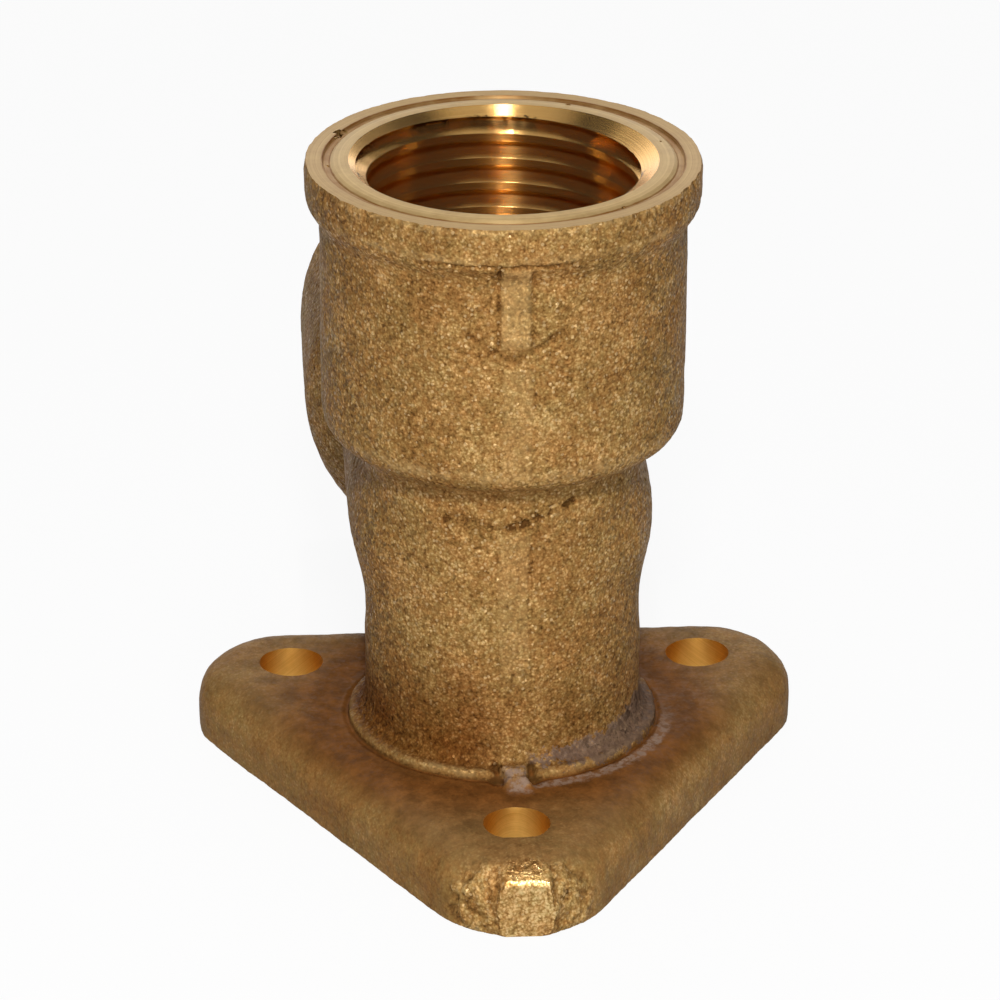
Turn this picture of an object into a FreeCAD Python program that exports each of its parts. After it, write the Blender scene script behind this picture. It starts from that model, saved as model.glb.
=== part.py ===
import FreeCAD, Part

import math
import os

# Wall plate elbow: one brass sand casting, machined at its two mouths and drilled for three screws.
# A three-cornered wall plate carries a column, and the column carries a threaded tap socket with a
# collar round its mouth. A tube leg leaves the column at a right angle and ends in a solder socket.
# Frame: the origin lies on the wall face under the tap socket's axis, +Z runs out of the tap socket
# and +Y runs out of the tube socket. All sizes are in millimetres.

# Overall
OVERALL_HEIGHT = 46.7            # wall face to tap mouth
TUBE_LEG_LENGTH = 38.2           # tap axis to tube mouth
TUBE_AXIS_HEIGHT = 19.8          # wall face to tube axis

# Wall plate
PLATE_THICKNESS = 4.9
PLATE_CORNER_RADIUS = 6.45
PLATE_CORNER_REACH = 17.4        # tap axis to the centre of a corner's arc
PLATE_FACE_ROUNDING = 2.8        # edge away from the wall
PLATE_WALL_CHAMFER = 0.3         # edge against the wall
SCREW_CIRCLE_DIAMETER = 34.0
SCREW_HOLE_DIAMETER = 4.6
SCREW_COUNT = 3
FIRST_CORNER_ANGLE = -90.0       # degrees round from +X, opposite the tube leg

# Stub of the casting gate, ground flat on the plate's first corner
GATE_WIDTH = 3.7
GATE_OFFSET = 0.35               # to the side of the corner's middle
GATE_PROUD = 0.12                # past the corner's arc
GATE_TOP_DROP = 0.35             # below the plate's face
GATE_ROUNDING = 1.2
GATE_INNER_LENGTH = 4.0          # how far the stub runs back over the corner

# Column
COLUMN_FOOT_RADIUS = 9.7
COLUMN_TOP_RADIUS = 9.55
FOOT_SPREAD = 1.05
FOOT_FLARE_HEIGHT = 1.5
FOOT_LIP_HEIGHT = 0.4

# Tap socket, outside
SOCKET_RADIUS = 12.55
SOCKET_LENGTH = 17.6             # mouth to the start of the shoulder
SOCKET_SHOULDER_LENGTH = 3.1
SOCKET_SHOULDER_FULLNESS = 0.75  # how long the wide wall runs on into the shoulder, of its length
SOCKET_SHOULDER_FILLET = 0.5     # how long the narrow wall runs on, of its length
COLLAR_RADIUS = 13.5
COLLAR_WALL_HEIGHT = 2.15
COLLAR_UNDERSIDE_HEIGHT = 2.15
COLLAR_EDGE_CHAMFER = 0.35

# Tap socket, inside: pipe thread of nominal half inch, bored at its crest radius
THREAD_CREST_RADIUS = 9.316
THREAD_DEPTH = 15.0
MOUTH_CHAMFER_WIDTH = 1.2
MOUTH_CHAMFER_DEPTH = 0.8
BORE_END_SLOPE = 30.0            # degrees, cone at the end of the threaded bore
FACE_GROOVE_RADIUS = 11.9
FACE_GROOVE_WIDTH = 0.8
FACE_GROOVE_DEPTH = 0.25
TAP_WATERWAY_RADIUS = 7.4

# Tube leg
ELBOW_SETBACK = 1.4              # tap axis to the centre of the rounded elbow
NECK_RADIUS = 10.67
TUBE_SOCKET_RADIUS = 13.15
TUBE_SOCKET_LENGTH = 15.15       # mouth to the start of the shoulder
TUBE_SHOULDER_LENGTH = 4.5
TUBE_EDGE_CHAMFER = 0.3
TUBE_BORE_RADIUS = 11.05         # for tube of 22 mm outside diameter
TUBE_BORE_DEPTH = 15.4
TUBE_MOUTH_CHAMFER = 0.4
TUBE_WATERWAY_RADIUS = 8.5

# Working values
CUT_OVERRUN = 1.0                # length by which a cutting body runs past the face it opens
ROUNDING_LIMIT = 0.7             # largest rounding, of the wall that it runs into
LEVEL_TOLERANCE = 1e-6

Vector = FreeCAD.Vector
ORIGIN = Vector(0, 0, 0)
UP = Vector(0, 0, 1)


def at(radius, height):
    """Point of a turned profile, drawn in the plane of X and Z."""
    return Vector(radius, 0, height)


def straight_edges(points):
    """Straight edges from each point to the next."""
    return [Part.LineSegment(start, end).toShape() for start, end in zip(points[:-1], points[1:])]


def blend_arc(wall_end, tip):
    """Arc that runs on from a wall parallel to the axis, and ends at a tip to one side."""
    across = tip.x - wall_end.x
    along = tip.z - wall_end.z
    arc_radius = (across ** 2 + along ** 2) / (2 * abs(across))
    half_turn = math.atan2(abs(across), abs(along))
    middle = at(
        wall_end.x + math.copysign(arc_radius * (1 - math.cos(half_turn)), across),
        wall_end.z + math.copysign(arc_radius * math.sin(half_turn), along),
    )
    return Part.Arc(wall_end, middle, tip).toShape()


def curve_through(poles):
    """Smooth curve that leaves its first point towards the second and ends from the last but one."""
    curve = Part.BezierCurve()
    curve.setPoles(poles)
    return curve.toShape()


def foot_curve(column_foot, lip):
    """Hollow flare that runs on from the column and spreads to the lip."""
    return curve_through([column_foot, at(column_foot.x, (column_foot.z + lip.z) / 2), lip])


def shoulder_curve(wide_end, narrow_end, fullness, fillet):
    """Smooth curve from a wide wall to a narrow one below it, running on from both."""
    drop = UP * (wide_end.z - narrow_end.z)
    return curve_through([wide_end, wide_end - drop * fullness, narrow_end + drop * fillet, narrow_end])


def turned(edges):
    """Solid turned round the Z axis from the edges of a closed half section."""
    outline = Part.Wire(Part.__sortEdges__(edges))
    return Part.Face(outline).revolve(ORIGIN, UP, 360)


def along_tube(shape):
    """Shape turned round Z, laid along the tube leg's axis."""
    shape.rotate(ORIGIN, Vector(1, 0, 0), -90)
    shape.translate(Vector(0, 0, TUBE_AXIS_HEIGHT))
    return shape


def on_corners(reach):
    """Points at one distance from the tap axis, one towards each corner of the plate."""
    angles = [math.radians(FIRST_CORNER_ANGLE + 360 * index / SCREW_COUNT) for index in range(SCREW_COUNT)]
    return [Vector(reach * math.cos(angle), reach * math.sin(angle), 0) for angle in angles]


def edges_at_height(shape, height):
    """Edges that lie in one level plane."""
    return [
        edge
        for edge in shape.Edges
        if max(abs(vertex.Z - height) for vertex in edge.Vertexes) < LEVEL_TOLERANCE
    ]


def wall_plate():
    """Plate with rounded corners, full on its face edge and nearly sharp at the wall."""
    corners = on_corners(PLATE_CORNER_REACH)
    inner_outline = Part.Face(Part.makePolygon(corners + corners[:1]))
    outline = inner_outline.makeOffset2D(PLATE_CORNER_RADIUS)
    plate = outline.extrude(Vector(0, 0, PLATE_THICKNESS))
    largest_rounding = ROUNDING_LIMIT * min(PLATE_THICKNESS, PLATE_CORNER_RADIUS)
    face_rounding = min(PLATE_FACE_ROUNDING, largest_rounding)
    plate = plate.makeFillet(face_rounding, edges_at_height(plate, PLATE_THICKNESS))
    return plate.makeChamfer(PLATE_WALL_CHAMFER, edges_at_height(plate, 0))


def gate_stub():
    """Stub across the first corner, flat at the front and rounded to the plate's face."""
    front = -(PLATE_CORNER_REACH + PLATE_CORNER_RADIUS + GATE_PROUD)
    base = PLATE_WALL_CHAMFER
    height = PLATE_THICKNESS - GATE_TOP_DROP - base
    stub = Part.makeBox(GATE_WIDTH, GATE_INNER_LENGTH, height)
    stub.translate(Vector(GATE_OFFSET - GATE_WIDTH / 2, front, base))
    top_edges = edges_at_height(stub, base + height)
    top_front = [edge for edge in top_edges if edge.BoundBox.YMax < front + LEVEL_TOLERANCE]
    return stub.makeFillet(min(GATE_ROUNDING, ROUNDING_LIMIT * height), top_front)


def screw_holes():
    """Drill bodies for the plate's screw holes."""
    length = PLATE_THICKNESS + 2 * CUT_OVERRUN
    start = Vector(0, 0, -CUT_OVERRUN)
    radius = SCREW_HOLE_DIAMETER / 2
    centres = on_corners(SCREW_CIRCLE_DIAMETER / 2)
    return [Part.makeCylinder(radius, length, centre + start) for centre in centres]


def column_and_tap_socket():
    """Column with its flared foot, the tap socket on it and the collar at the mouth."""
    sunk = PLATE_THICKNESS / 2
    lip_height = PLATE_THICKNESS + FOOT_LIP_HEIGHT
    foot_radius = COLUMN_FOOT_RADIUS + FOOT_SPREAD
    lip = at(foot_radius, lip_height)
    column_foot = at(COLUMN_FOOT_RADIUS, lip_height + FOOT_FLARE_HEIGHT)
    socket_foot = at(SOCKET_RADIUS, OVERALL_HEIGHT - SOCKET_LENGTH)
    column_top = at(COLUMN_TOP_RADIUS, socket_foot.z - SOCKET_SHOULDER_LENGTH)
    collar_wall_foot = at(COLLAR_RADIUS, OVERALL_HEIGHT - COLLAR_WALL_HEIGHT)
    collar_foot = at(SOCKET_RADIUS, collar_wall_foot.z - COLLAR_UNDERSIDE_HEIGHT)
    collar_wall_top = at(COLLAR_RADIUS, OVERALL_HEIGHT - COLLAR_EDGE_CHAMFER)
    mouth_edge = at(COLLAR_RADIUS - COLLAR_EDGE_CHAMFER, OVERALL_HEIGHT)
    edges = straight_edges([at(0, OVERALL_HEIGHT), at(0, sunk), at(foot_radius, sunk), lip])
    edges += [foot_curve(column_foot, lip)]
    edges += straight_edges([column_foot, column_top])
    edges += [shoulder_curve(socket_foot, column_top, SOCKET_SHOULDER_FULLNESS, SOCKET_SHOULDER_FILLET)]
    edges += straight_edges([socket_foot, collar_foot])
    edges += [blend_arc(collar_wall_foot, collar_foot)]
    edges += straight_edges([collar_wall_foot, collar_wall_top, mouth_edge, at(0, OVERALL_HEIGHT)])
    return turned(edges)


def tap_bore():
    """Chamfered mouth, threaded bore at its crest radius, and the waterway down to the elbow."""
    bore_end = OVERALL_HEIGHT - THREAD_DEPTH
    cone_length = (THREAD_CREST_RADIUS - TAP_WATERWAY_RADIUS) * math.tan(math.radians(BORE_END_SLOPE))
    chamfer_radius = THREAD_CREST_RADIUS + MOUTH_CHAMFER_WIDTH
    top = OVERALL_HEIGHT + CUT_OVERRUN
    outline = [
        at(0, TUBE_AXIS_HEIGHT),
        at(TAP_WATERWAY_RADIUS, TUBE_AXIS_HEIGHT),
        at(TAP_WATERWAY_RADIUS, bore_end - cone_length),
        at(THREAD_CREST_RADIUS, bore_end),
        at(THREAD_CREST_RADIUS, OVERALL_HEIGHT - MOUTH_CHAMFER_DEPTH),
        at(chamfer_radius, OVERALL_HEIGHT),
        at(chamfer_radius, top),
        at(0, top),
    ]
    return turned(straight_edges(outline + outline[:1]))


def face_groove():
    """Shallow ring that the facing tool left in the tap mouth's face."""
    half_width = FACE_GROOVE_WIDTH / 2
    outline = [
        at(FACE_GROOVE_RADIUS - half_width, OVERALL_HEIGHT),
        at(FACE_GROOVE_RADIUS, OVERALL_HEIGHT - FACE_GROOVE_DEPTH),
        at(FACE_GROOVE_RADIUS + half_width, OVERALL_HEIGHT),
    ]
    return turned(straight_edges(outline + outline[:1]))


def tube_leg():
    """Neck of the tube leg with its rounded elbow end, and the tube socket."""
    socket_foot = at(TUBE_SOCKET_RADIUS, TUBE_LEG_LENGTH - TUBE_SOCKET_LENGTH)
    neck_end = at(NECK_RADIUS, socket_foot.z - TUBE_SHOULDER_LENGTH)
    socket_wall_end = at(TUBE_SOCKET_RADIUS, TUBE_LEG_LENGTH - TUBE_EDGE_CHAMFER)
    mouth_edge = at(TUBE_SOCKET_RADIUS - TUBE_EDGE_CHAMFER, TUBE_LEG_LENGTH)
    elbow_nose = at(0, ELBOW_SETBACK - NECK_RADIUS)
    neck_start = at(NECK_RADIUS, ELBOW_SETBACK)
    edges = straight_edges([socket_foot, socket_wall_end, mouth_edge, at(0, TUBE_LEG_LENGTH), elbow_nose])
    edges += [blend_arc(neck_start, elbow_nose)]
    edges += straight_edges([neck_start, neck_end])
    edges += [blend_arc(socket_foot, neck_end)]
    return along_tube(turned(edges))


def tube_bore():
    """Solder socket's bore with its stop, and the waterway to the rounded elbow chamber."""
    stop = TUBE_LEG_LENGTH - TUBE_BORE_DEPTH
    chamber_start = at(TUBE_WATERWAY_RADIUS, ELBOW_SETBACK)
    chamber_nose = at(0, ELBOW_SETBACK - TUBE_WATERWAY_RADIUS)
    mouth_radius = TUBE_BORE_RADIUS + TUBE_MOUTH_CHAMFER
    end = TUBE_LEG_LENGTH + CUT_OVERRUN
    outline = [
        chamber_start,
        at(TUBE_WATERWAY_RADIUS, stop),
        at(TUBE_BORE_RADIUS, stop),
        at(TUBE_BORE_RADIUS, TUBE_LEG_LENGTH - TUBE_MOUTH_CHAMFER),
        at(mouth_radius, TUBE_LEG_LENGTH),
        at(mouth_radius, end),
        at(0, end),
        chamber_nose,
    ]
    edges = straight_edges(outline)
    edges += [blend_arc(chamber_start, chamber_nose)]
    return along_tube(turned(edges))


def elbow_casting():
    """The whole elbow as one solid."""
    raw_casting = wall_plate().fuse([gate_stub(), column_and_tap_socket(), tube_leg()])
    machined = raw_casting.cut([tap_bore(), tube_bore(), face_groove()] + screw_holes())
    return machined.removeSplitter()


os.makedirs("parts", exist_ok=True)
elbow_casting().exportStep("parts/elbow_casting.step")
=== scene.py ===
"""Looks of a cast brass wall plate elbow.

The elbow is made here as a foundry and a machine shop make it. A raw casting is put together from
turned bodies and a plate, grown into one skin and roughened as sand leaves it. Then tools cut it: the
faces, the tapped socket, the solder socket, the screw holes. Lengths are in millimetres until a piece
is finished, and in metres from then on.
"""

import logging
import math
from dataclasses import dataclass, field
from enum import Enum
from functools import partial, reduce
from typing import Protocol, Sequence

import bmesh
import bpy
from bmesh.types import BMesh, BMVert
from bpy.types import Material, Node, NodeSocket, Object
from mathutils import Matrix, Vector, geometry, noise


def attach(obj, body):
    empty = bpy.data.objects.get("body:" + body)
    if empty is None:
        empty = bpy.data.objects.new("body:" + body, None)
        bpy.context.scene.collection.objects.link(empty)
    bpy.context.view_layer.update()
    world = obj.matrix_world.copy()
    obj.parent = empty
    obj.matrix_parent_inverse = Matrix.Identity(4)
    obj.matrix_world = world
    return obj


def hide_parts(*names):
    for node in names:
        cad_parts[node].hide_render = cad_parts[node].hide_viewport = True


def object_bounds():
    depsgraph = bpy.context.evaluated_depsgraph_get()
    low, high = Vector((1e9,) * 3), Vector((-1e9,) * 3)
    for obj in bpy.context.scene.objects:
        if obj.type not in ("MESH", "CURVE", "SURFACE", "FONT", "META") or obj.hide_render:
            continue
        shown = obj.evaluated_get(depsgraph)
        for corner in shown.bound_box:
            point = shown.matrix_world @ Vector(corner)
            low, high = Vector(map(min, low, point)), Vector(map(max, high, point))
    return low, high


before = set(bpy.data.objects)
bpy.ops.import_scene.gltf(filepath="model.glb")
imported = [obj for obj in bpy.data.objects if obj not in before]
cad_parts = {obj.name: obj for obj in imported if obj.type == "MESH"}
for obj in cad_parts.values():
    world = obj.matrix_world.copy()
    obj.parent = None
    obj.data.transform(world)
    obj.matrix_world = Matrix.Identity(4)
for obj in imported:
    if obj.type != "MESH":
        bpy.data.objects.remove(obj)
cad_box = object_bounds()

log = logging.getLogger("wall_plate_elbow")

MM = 0.001
FULL_TURN = 2 * math.pi
TURNING_STEPS = 192
FINE_TURNING_STEPS = 256
MERGE_DISTANCE = 1e-4
STITCH_DISTANCE = 0.005
RIM_TOLERANCE = 0.01
FLAT_ANGLE = 0.5
DULL_GLOSS = 0.04
TUBE_AXIS_HEIGHT = 19.8
SCORED_RING = (11.5, 12.3)
ORIGIN = Vector((0, 0, 0))
UP = Vector((0, 0, 1))

Colour = tuple[float, float, float]
Span = tuple[float, float]


class Surface(Enum):
    """Finishes that the casting shows, in the order of its material slots."""

    CAST_SKIN = 0
    CORED = 1
    MOUTH_FACE = 2
    TAPPED = 3
    TUBE_FACE = 4
    BORED = 5
    DRILLED = 6
    GROUND = 7
    LINISHED = 8


def smooth_step(low: float, high: float, value: float) -> float:
    """Rise from 0 at low to 1 at high, level at both ends.

    Args:
        low: Value at which the rise starts.
        high: Value at which it ends.
        value: Where it is read.

    Returns:
        The height of the rise, from 0 to 1.
    """
    share = min(1.0, max(0.0, (value - low) / (high - low)))
    return share * share * (3 - 2 * share)


def band(value: float, half_width: float, soft: float) -> float:
    """1 within half_width of zero, falling to 0 over the soft length beyond it."""
    return 1 - smooth_step(half_width, half_width + soft, abs(value))


def speckle(place: Vector, size: float, seed: tuple[float, float, float] = (0, 0, 0)) -> float:
    """Soft noise about 0, in spots of one size."""
    return noise.noise(place / size + Vector(seed))


def clumps(place: Vector, size: float, seed: tuple[float, float, float], finer: float = 2.0) -> float:
    """Noise about 0 in three layers, each finer than the last by a factor."""
    return noise.fractal(place / size + Vector(seed), 0.8, finer, 3)


@dataclass
class HalfSection:
    """Half section of a turned body, as points of radius and height from its axis."""

    points: list[Vector] = field(default_factory=list)

    def to(self, *places: Span) -> "HalfSection":
        """Straight on to each place in turn."""
        self.points += [Vector((radius, 0, height)) for radius, height in places]
        return self

    def curve(self, leaving: Span, arriving: Span, end: Span, steps: int = 12) -> "HalfSection":
        """Smooth curve from the last point.

        Args:
            leaving: Handle that the curve sets out towards.
            arriving: Handle that it comes in from.
            end: Where it ends.
            steps: Points that it is drawn with.

        Returns:
            The section itself.
        """
        handles = [Vector((radius, 0, height)) for radius, height in (leaving, arriving, end)]
        self.points += geometry.interpolate_bezier(self.points[-1], *handles, steps)[1:]
        return self

    def turned(self, steps: int = TURNING_STEPS) -> BMesh:
        """Closed body turned round the axis.

        Args:
            steps: Facets round the axis.

        Returns:
            The body, with its faces outwards.
        """
        body = bmesh.new()
        verts = [body.verts.new(point) for point in self.points]
        edges = [body.edges.new(pair) for pair in zip(verts, verts[1:])]
        bmesh.ops.spin(body, geom=verts + edges, cent=ORIGIN, axis=UP, angle=FULL_TURN, steps=steps, use_merge=True)
        bmesh.ops.remove_doubles(body, verts=body.verts, dist=MERGE_DISTANCE)
        bmesh.ops.recalc_face_normals(body, faces=body.faces)
        return body


def placed(body: BMesh, matrix: Matrix) -> BMesh:
    """The body itself, moved by the matrix."""
    bmesh.ops.transform(body, matrix=matrix, verts=body.verts)
    return body


def block(low: Sequence[float], high: Sequence[float]) -> BMesh:
    """Box between two corners.

    Args:
        low: Corner with the lowest coordinates.
        high: Corner with the highest coordinates.

    Returns:
        The box.
    """
    body = bmesh.new()
    bmesh.ops.create_cube(body, size=1.0)
    middle = (Vector(low) + Vector(high)) / 2
    bmesh.ops.scale(body, vec=Vector(high) - Vector(low), verts=body.verts)
    bmesh.ops.translate(body, vec=middle, verts=body.verts)
    return body


def as_object(name: str, body: BMesh, surface: Surface) -> Object:
    """Object made from a body, all of one finish.

    Args:
        name: The object's name.
        body: Its shape, which is freed.
        surface: Finish of all its faces.

    Returns:
        The object, linked to the scene.
    """
    for face in body.faces:
        face.material_index = surface.value
    mesh = bpy.data.meshes.new(name)
    body.to_mesh(mesh)
    body.free()
    made = bpy.data.objects.new(name, mesh)
    for each in Surface:
        mesh.materials.append(bpy.data.materials.get(each.name) or bpy.data.materials.new(each.name))
    bpy.context.scene.collection.objects.link(made)
    return made


def apply_modifiers(piece: Object) -> None:
    """Makes the modified shape the object's own mesh.

    Args:
        piece: Object with its modifiers.
    """
    bpy.context.view_layer.update()
    seen = piece.evaluated_get(bpy.context.evaluated_depsgraph_get())
    plain = piece.data
    piece.data = bpy.data.meshes.new_from_object(seen)
    piece.modifiers.clear()
    bpy.data.meshes.remove(plain)


def cut(piece: Object, tool: BMesh, surface: Surface) -> None:
    """Takes a tool's volume out of a piece.

    Args:
        piece: What is cut.
        tool: Volume that the tool sweeps, which is freed.
        surface: Finish that the tool leaves.
    """
    cutter = as_object("tool", tool, surface)
    modifier = piece.modifiers.new("cut", "BOOLEAN")
    modifier.operation = "DIFFERENCE"
    modifier.solver = "MANIFOLD"
    modifier.material_mode = "INDEX"
    modifier.object = cutter
    apply_modifiers(piece)
    swept = cutter.data
    bpy.data.objects.remove(cutter)
    bpy.data.meshes.remove(swept)


@dataclass
class WallPlate:
    """Three-cornered plate that is screwed to the wall, with the stub of its casting gate."""

    thickness: float = 4.9
    corner_radius: float = 6.45
    corner_reach: float = 17.4
    face_rounding: float = 2.8
    rounding_facets: int = 10
    wall_stock: float = 0.6
    belt_low: tuple[float, float, float] = (-40, -40, -4)
    belt_high: tuple[float, float, float] = (40, 60, 0)
    first_corner: float = math.radians(-90)
    corners: int = 3
    screw_circle: float = 34.0
    screw_hole: float = 4.6
    drill_span: Span = (-2, 9)
    drill_steps: int = 96
    gate_width: float = 3.7
    gate_offset: float = 0.35
    gate_face: float = -23.97
    gate_stock: float = 0.5
    gate_drop: float = 0.35
    gate_rounding: float = 1.2
    gate_facets: int = 8
    gate_length: float = 4.0
    gate_foot: float = 0.3
    grind_roll: float = 0.9
    grind_drop: float = 0.1
    grind_half: float = 12.0
    grind_over: float = 12
    grind_depth: float = 5
    grind_below: float = -2
    roll_degrees: int = 10
    roll_steps: int = 8

    def around(self, reach: float) -> list[Vector]:
        """Points at one distance from the tap axis, one towards each corner.

        Args:
            reach: The distance.

        Returns:
            The points.
        """
        start = Vector((reach, 0, 0))
        turns = [self.first_corner + FULL_TURN * index / self.corners for index in range(self.corners)]
        return [Matrix.Rotation(turn, 3, "Z") @ start for turn in turns]

    def raw_plate(self) -> BMesh:
        """Plate as cast, full on its face edge, with stock on its wall face.

        Returns:
            The plate.
        """
        body = bmesh.new()
        for corner in self.around(self.corner_reach):
            for height in (-self.wall_stock, self.thickness):
                place = Matrix.Translation(corner + UP * height)
                bmesh.ops.create_circle(body, segments=TURNING_STEPS, radius=self.corner_radius, matrix=place)
        hull = bmesh.ops.convex_hull(body, input=body.verts)
        spare = {item for item in hull["geom_interior"] + hull["geom_unused"] if isinstance(item, BMVert)}
        bmesh.ops.delete(body, geom=list(spare), context="VERTS")
        bmesh.ops.dissolve_limit(body, angle_limit=math.radians(FLAT_ANGLE), verts=body.verts, edges=body.edges)
        face_edges = [e for e in body.edges if all(abs(v.co.z - self.thickness) < MERGE_DISTANCE for v in e.verts)]
        bmesh.ops.bevel(body, geom=face_edges, offset=self.face_rounding, offset_type="OFFSET", affect="EDGES",
                        segments=self.rounding_facets, profile=0.5, material=-1, clamp_overlap=True)
        bmesh.ops.recalc_face_normals(body, faces=body.faces)
        return body

    def raw_gate(self) -> BMesh:
        """Stub of the gate, before it is ground.

        Returns:
            The stub.
        """
        side = self.gate_width / 2
        front = self.gate_face - self.gate_stock
        top = self.thickness - self.gate_drop
        low = (self.gate_offset - side, front, self.gate_foot)
        body = block(low, (self.gate_offset + side, front + self.gate_length, top))
        top_front = [
            e for e in body.edges
            if all(abs(v.co.z - top) < MERGE_DISTANCE and abs(v.co.y - front) < MERGE_DISTANCE for v in e.verts)
        ]
        bmesh.ops.bevel(body, geom=top_front, offset=self.gate_rounding + self.gate_stock, offset_type="OFFSET",
                        affect="EDGES", segments=self.gate_facets, profile=0.5, material=-1)
        return body

    def wall_grind(self) -> BMesh:
        """What the belt takes off behind the wall face."""
        return block(self.belt_low, self.belt_high)

    def gate_grind(self) -> BMesh:
        """What the wheel takes off the gate's stub, rolling over its top edge.

        Returns:
            The wheel's volume.
        """
        roll, start = self.grind_roll, self.thickness - self.gate_drop - self.grind_roll - self.grind_drop
        turns = [math.radians(self.roll_degrees * step) for step in range(self.roll_steps)]
        edge = [(self.gate_face + roll * (1 - math.cos(turn)), start + roll * math.sin(turn)) for turn in turns]
        over = Vector((math.sin(turns[-1]), math.cos(turns[-1]))) * self.grind_over
        front, top = self.gate_face - self.grind_depth, edge[-1][1] + over.y
        outline = [(front, self.grind_below), (self.gate_face, self.grind_below), *edge]
        outline += [(edge[-1][0] + over.x, top), (front, top)]
        body = bmesh.new()
        side = body.faces.new([body.verts.new((-self.grind_half, y, z)) for y, z in outline])
        swept = bmesh.ops.extrude_face_region(body, geom=[side], use_keep_orig=True)["geom"]
        moved = [item for item in swept if isinstance(item, BMVert)]
        bmesh.ops.translate(body, vec=Vector((2 * self.grind_half, 0, 0)), verts=moved)
        bmesh.ops.recalc_face_normals(body, faces=body.faces)
        return body

    def screw_drills(self) -> list[BMesh]:
        """Drills of the screw holes.

        Returns:
            One drill for each hole.
        """
        radius, (foot, top) = self.screw_hole / 2, self.drill_span
        section = HalfSection().to((0, foot), (radius, foot), (radius, top), (0, top))
        centres = self.around(self.screw_circle / 2)
        return [placed(section.turned(self.drill_steps), Matrix.Translation(centre)) for centre in centres]


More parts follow.
